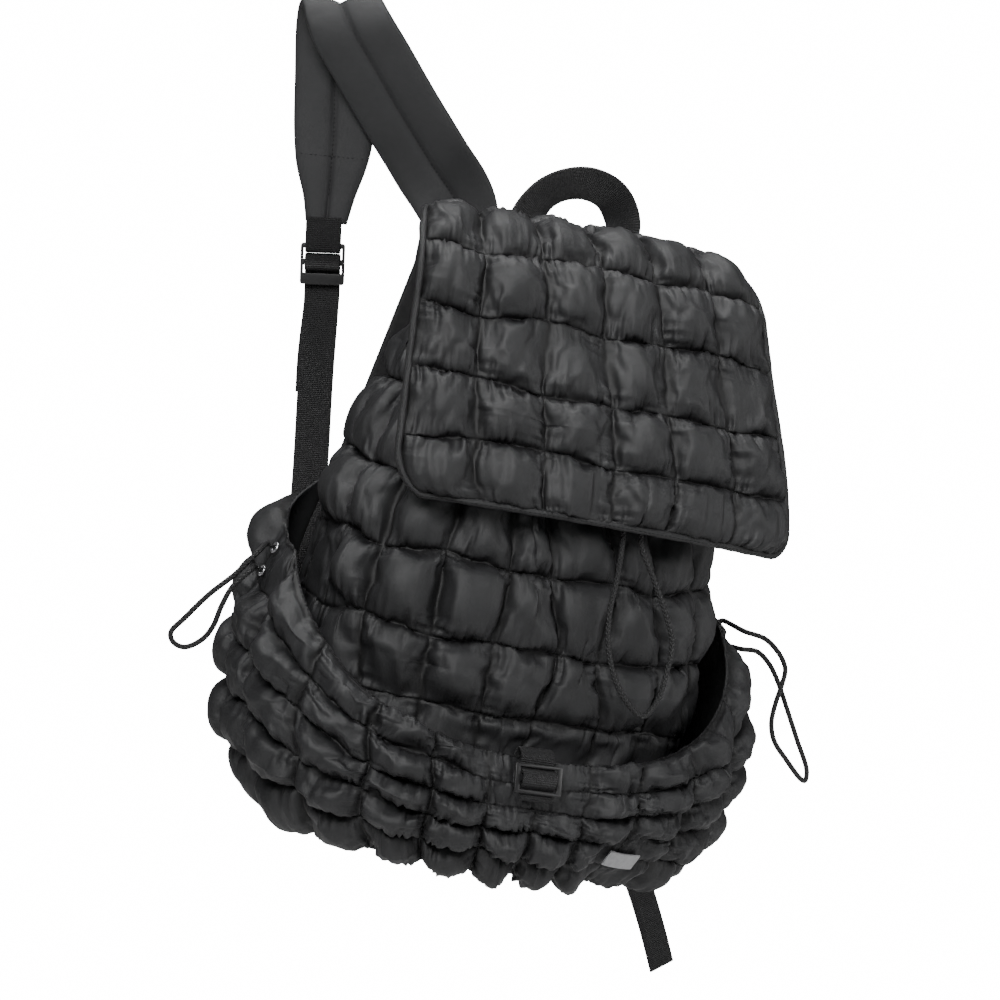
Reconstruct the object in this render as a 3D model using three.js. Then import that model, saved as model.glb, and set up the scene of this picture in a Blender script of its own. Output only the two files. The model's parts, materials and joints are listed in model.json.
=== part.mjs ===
import * as THREE from 'three';

// A quilted backpack hanging from its left shoulder strap, in millimetres.
// X runs to the right, Y to the back, Z up, and the origin is under the strap's top fold.
// The bag's own frame stands upright on the middle of its base and is tilted as it hangs.

const HANG_TILT = THREE.MathUtils.degToRad(13);
const STRAP_FACE = THREE.MathUtils.degToRad(-20);
const GAP = 0.4;

// The padded body.
const BODY_HEIGHT = 385;
const BODY_HALF = 134;
const BODY_FRONT = 88;
const BODY_BACK = 68;
const WALL = 3.5;
const BODY_CROWN = 13;
const BODY_COLUMNS = 12;
const BODY_ROWS = 8;
const BACK_STEPS = 5;
const QUILT_END = THREE.MathUtils.degToRad(128);
const GIRTH_HEIGHT = 110;

// The girth is rounder in front than behind, and is widest a little off its middle.
const GIRTH_WIDEST = 0.3;
// Its lower part hangs a little to the right.
const BODY_SWAY = 10;
const FRONT_POWER = 0.84;
const BACK_POWER = 0.42;

// The body's padding is pressed flat under the pocket, at its side seams and under the flap.
const COVER_FADE = 36;
const COVER_EDGE = 4;
const POCKET_PRESS = 0.6;
const SEAM_PRESS = 0.34;
const FLAP_PRESS = 0.6;

// Shares of the body's height, half width, front depth and back depth.
const BODY_TABLE = [
  { height: 0.0, half: 0.78, front: 0.8, back: 0.88 },
  { height: 0.06, half: 0.87, front: 0.91, back: 0.97 },
  { height: 0.15, half: 0.96, front: 0.98, back: 1.0 },
  { height: 0.3, half: 1.0, front: 1.0, back: 1.0 },
  { height: 0.45, half: 0.96, front: 0.93, back: 1.0 },
  { height: 0.6, half: 0.85, front: 0.75, back: 1.0 },
  { height: 0.7, half: 0.74, front: 0.6, back: 0.98 },
  { height: 0.8, half: 0.66, front: 0.44, back: 0.94 },
  { height: 0.9, half: 0.62, front: 0.25, back: 0.86 },
  { height: 1.0, half: 0.6, front: 0.12, back: 0.76 },
];

// The front pocket stands off the body by shares of its bulge.
const POCKET_BULGE = 33;
const POCKET_CROWN = 14;
const POCKET_COLUMNS = 14;
const POCKET_ROWS = 5;
const POCKET_END = THREE.MathUtils.degToRad(122);
const POCKET_RIM = 228;
const POCKET_FOOT = 1;
// Near its side seams the pocket comes in towards the body.
const POCKET_CLOSE = 0.7;
const POCKET_CLOSE_FROM = 0.82;
const RIM_TABLE = [
  { turn: 0.0, rim: 0.33 },
  { turn: 0.2, rim: 0.36 },
  { turn: 0.4, rim: 0.45 },
  { turn: 0.6, rim: 0.62 },
  { turn: 0.8, rim: 0.82 },
  { turn: 1.0, rim: 1.0 },
];
const BULGE_TABLE = [
  { rise: 0.0, bulge: 0.48 },
  { rise: 0.12, bulge: 0.8 },
  { rise: 0.25, bulge: 0.96 },
  { rise: 0.5, bulge: 1.0 },
  { rise: 0.8, bulge: 0.94 },
  { rise: 1.0, bulge: 0.72 },
];

// The flap runs from the back seam over the top and down the front.
const FLAP_HALF = 123;
const FLAP_SEAM_HALF = 85;
const FLAP_FLARE = 20;
const FLAP_SHIFT = 8;
const FLAP_SWING = 16;
const FLAP_BOW = 24;
const FLAP_WALL = 3;
const FLAP_CROWN = 11;
const FLAP_COLUMNS = 6;
const FLAP_ROWS = 7;
const FLAP_LEFT_CORNER = 32;
const FLAP_RIGHT_CORNER = 20;
const FLAP_REACH = 100;
const FLAP_TOP = BODY_HEIGHT + 20;
// The flap's sides bow to the back, less over the top, and drop a little.
const BOW_TOP = 0.35;
const BOW_DROP = 0.15;
// Its padding lies flat where it is sewn to the back.
const FLAP_FLAT = 0.04;
const BINDING_WIDE = 6;
const BINDING_THICK = 5;

// Shares of the flap's reach to the front and of its top height.
const FLAP_TABLE = [
  { reach: -0.68, height: 0.895 },
  { reach: -0.675, height: 0.94 },
  { reach: -0.58, height: 0.978 },
  { reach: -0.3, height: 1.002 },
  { reach: 0.06, height: 1.0 },
  { reach: 0.33, height: 0.955 },
  { reach: 0.56, height: 0.835 },
  { reach: 0.8, height: 0.705 },
  { reach: 1.0, height: 0.57 },
];
// Where the rows of quilting end, as shares of the flap's length.
const FLAP_SEAMS = [0, 0.15, 0.29, 0.44, 0.59, 0.74, 0.88, 1];

// Panels.
const PANEL_THICK = 6;
const BACK_PANEL_Y = BODY_BACK + WALL + GAP;
const BASE_THICK = 7;

// Webbing, straps and their plastic locks.
const WEB_WIDE = 25;
const WEB_THICK = 1.6;
const PAD_LOBE = 4.4;
const LOCK_WIDE = 30;
const LOCK_HIGH = 28;
const LOCK_THICK = 3.5;
const SLOT_WIDE = 26;

// Drawcords and their eyelets.
const CORD_RADIUS = 1.8;
const CORD_SIDES = 8;
const CORD_STEP = 9;
const EYELET_OUT = 4;
const EYELET_IN = 2.2;
const EYELET_THICK = 1.6;

const FABRIC = { color: 0x47484a, roughness: 0.5, metalness: 0 };
const LINER = { color: 0x303133, roughness: 0.8, metalness: 0 };
const WEBBING = { color: 0x232426, roughness: 0.75, metalness: 0 };
const CORD = { color: 0x1c1d1f, roughness: 0.8, metalness: 0 };
const PLASTIC = { color: 0x1a1a1b, roughness: 0.4, metalness: 0 };
const METAL = { color: 0xb8babd, roughness: 0.3, metalness: 1 };
const PATCH = { color: 0x9a9b9d, roughness: 0.7, metalness: 0 };

const vec = (x, y, z) => new THREE.Vector3(x, y, z);
const UPRIGHT = vec(0, 0, 1);

// A value of a table's column, passed smoothly through its rows.
function sample(table, key, column, at) {
  let row = 0;
  while (row < table.length - 2 && at > table[row + 1][key]) {
    row += 1;
  }
  const from = table[row];
  const to = table[row + 1];
  const before = table[Math.max(row - 1, 0)];
  const after = table[Math.min(row + 2, table.length - 1)];
  const span = to[key] - from[key];
  const slopeFrom = (to[column] - before[column]) / (to[key] - before[key]);
  const slopeTo = (after[column] - from[column]) / (after[key] - from[key]);
  const t = THREE.MathUtils.clamp((at - from[key]) / span, 0, 1);
  const rise = t * t * (3 - 2 * t);
  const pull = slopeFrom * span * t * (1 - t) * (1 - t) - slopeTo * span * t * t * (1 - t);
  return from[column] + (to[column] - from[column]) * rise + pull;
}

// Steady variation from puff to puff.
function vary(column, row, seed) {
  const wave = Math.sin(column * 12.9898 + row * 78.233 + seed * 37.719) * 43758.5453;
  return wave - Math.floor(wave);
}

// How far a point of a quilted cell swells, 0 on its seams.
function swell(across, down, seed) {
  const column = Math.floor(across + 1e-6);
  const row = Math.floor(down + 1e-6);
  const u = Math.max(across - column, 0);
  const v = Math.max(down - row, 0);
  const dome = Math.sin(Math.PI * u) * Math.sin(Math.PI * v);
  return Math.max(dome, 0) ** 0.4 * (0.84 + 0.32 * vary(column, row, seed));
}

// Closed solids built from grids of points.
class Solid {
  constructor() {
    this.points = [];
    this.faces = [];
  }

  point(place) {
    this.points.push(place);
    return this.points.length - 1;
  }

  grid(rows, columns, place) {
    const net = [];
    for (let row = 0; row <= rows; row += 1) {
      const line = [];
      for (let column = 0; column <= columns; column += 1) {
        line.push(this.point(place(column / columns, row / rows)));
      }
      net.push(line);
    }
    return net;
  }

  skin(net, flip) {
    for (let row = 0; row < net.length - 1; row += 1) {
      for (let column = 0; column < net[row].length - 1; column += 1) {
        const a = net[row][column];
        const b = net[row][column + 1];
        const c = net[row + 1][column + 1];
        const d = net[row + 1][column];
        this.face(a, b, c, flip);
        this.face(a, c, d, flip);
      }
    }
  }

  face(a, b, c, flip) {
    if (a !== b && b !== c && a !== c) {
      this.faces.push(flip ? [a, c, b] : [a, b, c]);
    }
  }

  // Joins two lines that run side by side and may have different numbers of points.
  zip(first, second) {
    let i = 0;
    let j = 0;
    const m = first.length - 1;
    const n = second.length - 1;
    while (i < m || j < n) {
      if (j === n || (i < m && (i + 0.5) / m < (j + 0.5) / n)) {
        this.face(first[i + 1], first[i], second[j], false);
        i += 1;
      } else {
        this.face(second[j], second[j + 1], first[i], false);
        j += 1;
      }
    }
  }

  fan(ring, centre, flip) {
    for (let i = 0; i < ring.length - 1; i += 1) {
      this.face(ring[i], ring[i + 1], centre, flip);
    }
  }

  geometry() {
    let volume = 0;
    for (const [a, b, c] of this.faces) {
      const across = new THREE.Vector3().crossVectors(this.points[b], this.points[c]);
      volume += this.points[a].dot(across);
    }
    const shape = new THREE.BufferGeometry();
    const places = this.points.flatMap((p) => [p.x, p.y, p.z]);
    shape.setAttribute('position', new THREE.Float32BufferAttribute(places, 3));
    const order = this.faces.flatMap(([a, b, c]) => (volume > 0 ? [a, b, c] : [a, c, b]));
    shape.setIndex(order);
    shape.computeVertexNormals();
    return shape;
  }
}

// A padded sheet: an outer and an inner skin joined round the border.
function sheet(outerRows, outerColumns, outer, innerRows, innerColumns, inner) {
  const solid = new Solid();
  const face = solid.grid(outerRows, outerColumns, outer);
  const back = solid.grid(innerRows, innerColumns, inner);
  solid.skin(face, false);
  solid.skin(back, true);
  const edges = (net) => {
    const last = net.length - 1;
    return [
      net[0],
      net.map((line) => line[line.length - 1]),
      [...net[last]].reverse(),
      net.map((line) => line[0]).reverse(),
    ];
  };
  const faceEdges = edges(face);
  const backEdges = edges(back);
  faceEdges.forEach((edge, side) => solid.zip(edge, backEdges[side]));
  return solid.geometry();
}

// A solid lofted through rings of points and closed by a fan at each end.
function loft(rings) {
  const solid = new Solid();
  const net = rings.map((ring) => {
    const line = ring.map((place) => solid.point(place));
    return [...line, line[0]];
  });
  solid.skin(net, false);
  const middle = (ring) =>
    ring.reduce((sum, place) => sum.add(place), vec(0, 0, 0)).divideScalar(ring.length);
  solid.fan(net[0], solid.point(middle(rings[0])), true);
  solid.fan(net[net.length - 1], solid.point(middle(rings[rings.length - 1])), false);
  return solid.geometry();
}

// The unit normal of a surface given as a function of two values.
function normalOf(surface, u, v) {
  const small = 0.002;
  const alongU = surface(u + small, v).sub(surface(u - small, v));
  const alongV = surface(u, v + small).sub(surface(u, v - small));
  return alongU.cross(alongV).normalize();
}

// The body's inner face, by angle from the front centre and by height.
function bodyFace(angle, height) {
  const share = THREE.MathUtils.clamp(height / BODY_HEIGHT, 0, 1);
  const half = BODY_HALF * sample(BODY_TABLE, 'height', 'half', share);
  const front = BODY_FRONT * sample(BODY_TABLE, 'height', 'front', share);
  const back = BODY_BACK * sample(BODY_TABLE, 'height', 'back', share);
  const widest = (back - front) * GIRTH_WIDEST;
  const forward = Math.cos(angle) > 0;
  const power = forward ? FRONT_POWER : BACK_POWER;
  const side = Math.sign(Math.sin(angle)) * Math.abs(Math.sin(angle)) ** power;
  const depth = Math.abs(Math.cos(angle)) ** power;
  const y = forward ? widest - (front + widest) * depth : widest + (back - widest) * depth;
  return vec(half * side + BODY_SWAY * (1 - share), y, height);
}

// Angles that cut a stretch of the girth into equal lengths.
function evenAngles(from, to, steps) {
  const fine = 400;
  const lengths = [0];
  for (let i = 1; i <= fine; i += 1) {
    const a = bodyFace(from + ((to - from) * (i - 1)) / fine, GIRTH_HEIGHT);
    const b = bodyFace(from + ((to - from) * i) / fine, GIRTH_HEIGHT);
    lengths.push(lengths[i - 1] + a.distanceTo(b));
  }
  const angles = [];
  let i = 0;
  for (let step = 0; step <= steps; step += 1) {
    const goal = (lengths[fine] * step) / steps;
    while (i < fine - 1 && lengths[i + 1] < goal) {
      i += 1;
    }
    const part = (goal - lengths[i]) / (lengths[i + 1] - lengths[i]);
    angles.push(from + ((to - from) * (i + THREE.MathUtils.clamp(part, 0, 1))) / fine);
  }
  return angles;
}

const bodyOut = (angle, height) =>
  normalOf((a, h) => bodyFace(a, h * BODY_HEIGHT), angle, height / BODY_HEIGHT);

// How much of the padding swells: less where the pocket, its side seams or the flap press.
function freeShare(angle, height) {
  const covered = THREE.MathUtils.smoothstep(pocketRim(angle) - height, -COVER_FADE, -COVER_EDGE);
  const sewn = THREE.MathUtils.smoothstep(Math.abs(angle) / POCKET_END, 0.62, 0.84);
  const capped = THREE.MathUtils.smoothstep(height, 0.75 * BODY_HEIGHT, 0.9 * BODY_HEIGHT);
  return (1 - covered * (POCKET_PRESS + SEAM_PRESS * sewn)) * (1 - FLAP_PRESS * capped);
}

function body() {
  const quiltSteps = BODY_COLUMNS * 3;
  const quilted = evenAngles(-QUILT_END, QUILT_END, quiltSteps);
  const plain = evenAngles(QUILT_END, 2 * Math.PI - QUILT_END, BACK_STEPS);
  const angles = [...quilted, ...plain.slice(1)];
  const rows = BODY_ROWS * 3;
  const innerRows = BODY_ROWS;
  const solid = new Solid();
  const outer = [];
  for (let row = 0; row <= rows; row += 1) {
    const height = (BODY_HEIGHT * row) / rows;
    const line = angles.slice(0, -1).map((angle, step) => {
      const puffed = step <= quiltSteps ? swell(step / 3, row / 3, 1) : 0;
      const place = bodyFace(angle, height);
      const out = bodyOut(angle, height);
      if (row === 0) {
        out.setZ(0).normalize();
      }
      return solid.point(place.addScaledVector(out, WALL + BODY_CROWN * puffed * freeShare(angle, height)));
    });
    outer.push([...line, line[0]]);
  }
  const inner = [];
  for (let row = 0; row <= innerRows; row += 1) {
    const height = WALL + ((BODY_HEIGHT - WALL) * row) / innerRows;
    const line = angles.slice(0, -1).map((angle) => solid.point(bodyFace(angle, height)));
    inner.push([...line, line[0]]);
  }
  solid.skin(outer, false);
  solid.skin(inner, true);
  solid.zip([...outer[rows]].reverse(), [...inner[innerRows]].reverse());
  solid.fan(outer[0], solid.point(vec(0, 0, 0)), true);
  solid.fan(inner[0], solid.point(vec(0, 0, WALL)), false);
  return solid.geometry();
}

// Height of the pocket's rim at an angle from the front centre.
function pocketRim(angle) {
  const turned = angle > Math.PI ? 2 * Math.PI - angle : Math.abs(angle);
  const turn = Math.min(turned / POCKET_END, 1);
  return POCKET_RIM * sample(RIM_TABLE, 'turn', 'rim', turn);
}

// Places where the pocket's padding is held flat, by angle, share of height and reach.
const FRONT_TAB_ANGLE = THREE.MathUtils.degToRad(-1);
const EYELET_ANGLE = THREE.MathUtils.degToRad(92);
const EYELET_RISE = 0.9;
const LABEL_ANGLE = THREE.MathUtils.degToRad(28);
const LABEL_RISE = 0.25;
const HELD_PUFF = 0.12;
const CALM = [
  { angle: FRONT_TAB_ANGLE, rise: 0.86, wide: 0.36, tall: 0.45 },
  { angle: -EYELET_ANGLE, rise: EYELET_RISE, wide: 0.16, tall: 0.16 },
  { angle: EYELET_ANGLE, rise: EYELET_RISE, wide: 0.16, tall: 0.16 },
  { angle: LABEL_ANGLE, rise: LABEL_RISE, wide: 0.25, tall: 0.28 },
];

function calm(angle, rise) {
  let least = 1;
  for (const spot of CALM) {
    const far = Math.hypot((angle - spot.angle) / spot.wide, (rise - spot.rise) / spot.tall);
    least = Math.min(least, THREE.MathUtils.smoothstep(far, 0.55, 1.1));
  }
  return HELD_PUFF + (1 - HELD_PUFF) * least;
}

// The pocket's inner face, by angle and by share of the way from foot to rim.
function pocketFace(angle, rise) {
  const rim = pocketRim(angle);
  const height = POCKET_FOOT + (rim - POCKET_FOOT) * rise;
  const place = bodyFace(angle, Math.max(height, 0));
  const out = bodyOut(angle, Math.max(height, 1)).setZ(0).normalize();
  const turn = Math.min(Math.abs(angle) / POCKET_END, 1);
  const close = 1 - POCKET_CLOSE * THREE.MathUtils.smoothstep(turn, POCKET_CLOSE_FROM, 1);
  const stand = POCKET_BULGE * sample(BULGE_TABLE, 'rise', 'bulge', rise) * close;
  return place.addScaledVector(out, stand).setZ(height);
}

const pocketAngles = evenAngles(-POCKET_END, POCKET_END, POCKET_COLUMNS * 3);

function pocketAngleAt(share) {
  const at = share * (pocketAngles.length - 1);
  const low = Math.min(Math.floor(at), pocketAngles.length - 2);
  return pocketAngles[low] + (pocketAngles[low + 1] - pocketAngles[low]) * (at - low);
}

function pocketOutside(angle, rise, puffed) {
  const out = normalOf(pocketFace, angle, THREE.MathUtils.clamp(rise, 0.01, 0.99));
  const thick = WALL + POCKET_CROWN * puffed * calm(angle, rise);
  return pocketFace(angle, rise).addScaledVector(out, thick);
}

function frontPocket() {
  const outer = (u, v) => {
    const puffed = swell(u * POCKET_COLUMNS, v * POCKET_ROWS, 2);
    return pocketOutside(pocketAngleAt(u), v, puffed);
  };
  const inner = (u, v) => pocketFace(pocketAngleAt(u), v);
  return sheet(POCKET_ROWS * 3, POCKET_COLUMNS * 3, outer, POCKET_ROWS, POCKET_COLUMNS * 2, inner);
}

// The flap's under face by share of its length and by share of its half width.
const flapPath = new THREE.CatmullRomCurve3(
  FLAP_TABLE.map((row) => vec(0, -row.reach * FLAP_REACH, row.height * FLAP_TOP)),
  false,
  'centripetal',
);
const FLAP_LENGTH = flapPath.getLength();

function flapFace(along, across) {
  const at = THREE.MathUtils.clamp(along, 0, 1);
  const middle = flapPath.getPointAt(at);
  const down = THREE.MathUtils.smoothstep(at, 0.3, 1);
  const left = FLAP_LENGTH * (1 - at);
  const corner = across < 0 ? FLAP_LEFT_CORNER : FLAP_RIGHT_CORNER;
  const inset = left < corner ? corner - Math.sqrt(corner ** 2 - (corner - left) ** 2) : 0;
  const widened = THREE.MathUtils.smoothstep(at, 0, 0.45);
  const half = FLAP_SEAM_HALF + (FLAP_HALF - FLAP_SEAM_HALF) * widened + FLAP_FLARE * down - inset;
  const bow = FLAP_BOW * across ** 2 * THREE.MathUtils.smoothstep(at, 0.08, 0.35);
  const bowed = bow * (BOW_TOP + (1 - BOW_TOP) * down);
  const centre = FLAP_SHIFT + FLAP_SWING * down;
  return vec(centre + half * across, middle.y + bowed, middle.z - BOW_DROP * bow);
}

function flapShare(rows) {
  const row = Math.min(Math.floor(rows + 1e-6), FLAP_ROWS - 1);
  return FLAP_SEAMS[row] + (FLAP_SEAMS[row + 1] - FLAP_SEAMS[row]) * (rows - row);
}

function flap() {
  const last = 1 - (BINDING_WIDE + 3 * GAP) / FLAP_LENGTH;
  const side = 1 - (BINDING_WIDE + 3 * GAP) / FLAP_HALF;
  const outer = (u, v) => {
    const along = flapShare(v * FLAP_ROWS) * last;
    const across = (2 * u - 1) * side;
    const out = normalOf(flapFace, THREE.MathUtils.clamp(along, 0.01, 0.97), across);
    const free = FLAP_FLAT + (1 - FLAP_FLAT) * THREE.MathUtils.smoothstep(v, 0.12, 0.3);
    const puffed = swell(u * FLAP_COLUMNS, v * FLAP_ROWS, 3) * free;
    return flapFace(along, across).addScaledVector(out, FLAP_WALL + FLAP_CROWN * puffed);
  };
  const inner = (u, v) => flapFace(flapShare(v * FLAP_ROWS) * last, (2 * u - 1) * side);
  return sheet(FLAP_ROWS * 3, FLAP_COLUMNS * 3, outer, FLAP_ROWS * 2, FLAP_COLUMNS, inner);
}

// The flap's binding is one soft cord of fabric swept round the free border.
function flapBinding() {
  const inside = 0.5 * BINDING_WIDE;
  const side = 1 - inside / FLAP_HALF;
  const start = 0.06;
  const end = 1 - inside / FLAP_LENGTH;
  const bend = 1 - FLAP_LEFT_CORNER / FLAP_LENGTH;
  const straight = 15;
  const round = 9;
  const cross = 16;
  const down = [];
  for (let i = 0; i < straight; i += 1) {
    down.push(start + ((bend - start) * i) / straight);
  }
  for (let i = 0; i <= round; i += 1) {
    down.push(bend + (end - bend) * Math.sin((i / round) * 0.5 * Math.PI));
  }
  const route = down.map((along) => [along, -side]);
  for (let i = 1; i < cross; i += 1) {
    route.push([end, side * ((2 * i) / cross - 1)]);
  }
  route.push(...[...down].reverse().map((along) => [along, side]));
  const centres = route.map(([along, across]) => {
    const out = normalOf(flapFace, THREE.MathUtils.clamp(along, 0.01, 0.97), across);
    return { place: flapFace(along, across).addScaledVector(out, 0.5 * FLAP_WALL), out };
  });
  const rings = centres.map(({ place, out }, i) => {
    const before = centres[Math.max(i - 1, 0)].place;
    const after = centres[Math.min(i + 1, centres.length - 1)].place;
    const ahead = after.clone().sub(before).normalize();
    const across = new THREE.Vector3().crossVectors(ahead, out).normalize();
    const up = new THREE.Vector3().crossVectors(across, ahead);
    const ring = [];
    for (let corner = 0; corner < 6; corner += 1) {
      const angle = (corner * Math.PI) / 3;
      const wide = (0.5 * BINDING_WIDE - GAP) * Math.cos(angle);
      const thick = 0.5 * BINDING_THICK * Math.sin(angle);
      ring.push(place.clone().addScaledVector(across, wide).addScaledVector(up, thick));
    }
    return ring;
  });
  return loft(rings);
}

// A flat panel: an outline in X and Z, given its thickness along Y.
function panel(outline, thick, y) {
  const shape = new THREE.ExtrudeGeometry(outline, { depth: thick, bevelEnabled: false, curveSegments: 4 });
  shape.rotateX(Math.PI / 2);
  shape.translate(0, y + thick, 0);
  return shape;
}

// The back panel's outline: its foot, top and half widths, and its rounding.
const PANEL_FOOT = 6;
const PANEL_TOP = 386;
const PANEL_LOW = 100;
const PANEL_MIDDLE = 106;
const PANEL_HIGH_LEFT = 80;
const PANEL_HIGH_RIGHT = 112;
const PANEL_ROUND = 22;
const PANEL_BELLY = 4;

function backPanel() {
  const foot = PANEL_FOOT;
  const top = PANEL_TOP;
  const low = PANEL_LOW;
  const waist = PANEL_MIDDLE - PANEL_BELLY / 2;
  const belly = PANEL_MIDDLE + PANEL_BELLY;
  const outline = new THREE.Shape();
  outline.moveTo(-low + PANEL_ROUND, foot);
  outline.lineTo(low - PANEL_ROUND, foot);
  outline.quadraticCurveTo(low, foot, low + PANEL_BELLY, foot + PANEL_ROUND);
  outline.quadraticCurveTo(belly, 0.4 * top, waist, 0.6 * top);
  outline.lineTo(PANEL_HIGH_RIGHT, top - PANEL_ROUND);
  outline.quadraticCurveTo(PANEL_HIGH_RIGHT, top, PANEL_HIGH_RIGHT - PANEL_ROUND, top);
  outline.lineTo(-PANEL_HIGH_LEFT + PANEL_ROUND, top);
  outline.quadraticCurveTo(-PANEL_HIGH_LEFT, top, -PANEL_HIGH_LEFT, top - PANEL_ROUND);
  outline.lineTo(-waist, 0.6 * top);
  outline.quadraticCurveTo(-belly, 0.4 * top, -low - PANEL_BELLY, foot + PANEL_ROUND);
  outline.quadraticCurveTo(-low, foot, -low + PANEL_ROUND, foot);
  return panel(outline, PANEL_THICK, BACK_PANEL_Y);
}

function basePanel() {
  const outline = new THREE.Shape();
  const steps = 36;
  const spread = 1.04;
  for (let i = 0; i < steps; i += 1) {
    const place = bodyFace((2 * Math.PI * i) / steps, 0).multiplyScalar(spread);
    if (i === 0) {
      outline.moveTo(place.x, place.y);
    } else {
      outline.lineTo(place.x, place.y);
    }
  }
  const shape = new THREE.ExtrudeGeometry(outline, { depth: BASE_THICK, bevelEnabled: false });
  shape.translate(0, 0, -BASE_THICK - GAP);
  return shape;
}

// A flat band through stations, each with a place and the turn of its width about Z.
function bandRings(stations, ringAt) {
  return stations.map((station, i) => {
    const before = stations[Math.max(i - 1, 0)].place;
    const after = stations[Math.min(i + 1, stations.length - 1)].place;
    const ahead = after.clone().sub(before).normalize();
    const wide = station.wide ? station.wide.clone() : vec(1, 0, 0);
    wide.applyAxisAngle(vec(0, 1, 0), station.lean ?? 0);
    wide.applyAxisAngle(UPRIGHT, station.turn ?? 0);
    wide.addScaledVector(ahead, -wide.dot(ahead)).normalize();
    const out = new THREE.Vector3().crossVectors(wide, ahead).normalize();
    return ringAt(station, wide, out);
  });
}

function band(stations, wideness, thickness) {
  const ringAt = (station, wide, out) => {
    const corners = [[-1, -1], [1, -1], [1, 1], [-1, 1]];
    return corners.map(([w, t]) =>
      station.place
        .clone()
        .addScaledVector(wide, (w * wideness) / 2)
        .addScaledVector(out, (t * thickness) / 2),
    );
  };
  return loft(bandRings(stations, ringAt));
}

// One side of a padded strap's section: shares of the half width and of the lobes' height.
const PAD_SECTION = [
  { across: -1.0, high: 0.35 },
  { across: -0.78, high: 0.9 },
  { across: -0.42, high: 1.0 },
  { across: 0.0, high: 0.3 },
  { across: 0.42, high: 1.0 },
  { across: 0.78, high: 0.9 },
  { across: 1.0, high: 0.35 },
];

function pad(stations) {
  const ringAt = (station, wide, out) => {
    const side = (row, sign) =>
      station.place
        .clone()
        .addScaledVector(wide, row.across * station.half)
        .addScaledVector(out, sign * row.high * PAD_LOBE);
    return [
      ...PAD_SECTION.map((row) => side(row, -1)),
      ...[...PAD_SECTION].reverse().map((row) => side(row, 1)),
    ];
  };
  return loft(bandRings(stations, ringAt));
}

const tilted = (x, y, z) => vec(x, y, z).applyAxisAngle(vec(0, 1, 0), HANG_TILT);

// The shoulder pads in the hanging frame: places and half widths.
const LEFT_PAD = [
  { x: -49, y: 82.5, z: 338, half: 27.5 },
  { x: -49, y: 82.5, z: 372, half: 27.5 },
  { x: -52, y: 84, z: 405, half: 27.5 },
];
const LEFT_PAD_FREE = [
  { x: 20, y: 86, z: 443, half: 27.5 },
  { x: -1, y: 87, z: 477, half: 27.5 },
  { x: -20, y: 87, z: 509, half: 27.5 },
  { x: -34, y: 88, z: 533, half: 27 },
  { x: -37, y: 92, z: 542, half: 26.5 },
  { x: -38, y: 99, z: 547, half: 26 },
  { x: -38, y: 106, z: 543, half: 26 },
  { x: -38, y: 110, z: 533, half: 26.5 },
  { x: -38, y: 112, z: 500, half: 27 },
  { x: -39, y: 112, z: 462, half: 27 },
  { x: -41, y: 112, z: 440, half: 24 },
  { x: -43, y: 112, z: 418, half: 17.5 },
  { x: -45, y: 112, z: 401, half: 14 },
];
const RIGHT_PAD_TURN = 0.1;
const RIGHT_PAD = [
  { x: 92, y: 82.5, z: 332, half: 27 },
  { x: 92, y: 82.5, z: 368, half: 27 },
  { x: 93, y: 84, z: 385, half: 27 },
];
const RIGHT_PAD_FREE = [
  { x: 181, y: 88, z: 365, half: 27.5 },
  { x: 183, y: 97, z: 370, half: 27.5 },
  { x: 185, y: 106, z: 365, half: 27.5 },
  { x: 186, y: 110, z: 353, half: 27.5 },
  { x: 185, y: 113, z: 330, half: 27.5 },
  { x: 182, y: 114, z: 296, half: 27.5 },
  { x: 176, y: 114, z: 247, half: 27.5 },
  { x: 168, y: 113, z: 199, half: 27.5 },
  { x: 161, y: 112, z: 160, half: 24 },
  { x: 157, y: 111, z: 138, half: 17.5 },
  { x: 154, y: 110, z: 121, half: 14 },
];

function padStations(sewn, free, turn) {
  const held = sewn.map((row) => ({ place: tilted(row.x, row.y, row.z), half: row.half, turn: 0 }));
  const loose = free.map((row) => ({ place: vec(row.x, row.y, row.z), half: row.half, turn }));
  return [...held, ...loose];
}

// A ladder lock hangs just under its pad, facing along its own Y.
// Its link is that much longer above its middle, up to the pad's lower end.
const LEFT_LOCK = { place: vec(-48, 111.5, 373), turn: STRAP_FACE, lean: 0.04, link: 26.9 };
const RIGHT_LOCK = { place: vec(149.5, 109, 94), turn: THREE.MathUtils.degToRad(8), lean: 0.16, link: 26.4 };

function lockShape() {
  const half = LOCK_WIDE / 2;
  const high = LOCK_HIGH / 2;
  const round = 2;
  const outline = new THREE.Shape();
  outline.moveTo(-half + round, -high);
  outline.lineTo(half - round, -high);
  outline.quadraticCurveTo(half, -high, half, -high + round);
  outline.lineTo(half, high - round);
  outline.quadraticCurveTo(half, high, half - round, high);
  outline.lineTo(-half + round, high);
  outline.quadraticCurveTo(-half, high, -half, high - round);
  outline.lineTo(-half, -high + round);
  outline.quadraticCurveTo(-half, -high, -half + round, -high);
  const slots = [
    { low: -6.6, high: -1 },
    { low: 3, high: 10.6 },
  ];
  for (const slot of slots) {
    const hole = new THREE.Path();
    hole.moveTo(-SLOT_WIDE / 2, slot.low);
    hole.lineTo(-SLOT_WIDE / 2, slot.high);
    hole.lineTo(SLOT_WIDE / 2, slot.high);
    hole.lineTo(SLOT_WIDE / 2, slot.low);
    hole.closePath();
    outline.holes.push(hole);
  }
  const solid = { depth: LOCK_THICK, bevelEnabled: false, curveSegments: 3 };
  const shape = new THREE.ExtrudeGeometry(outline, solid);
  shape.translate(0, 0, -LOCK_THICK / 2);
  shape.rotateX(Math.PI / 2);
  return shape;
}

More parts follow.
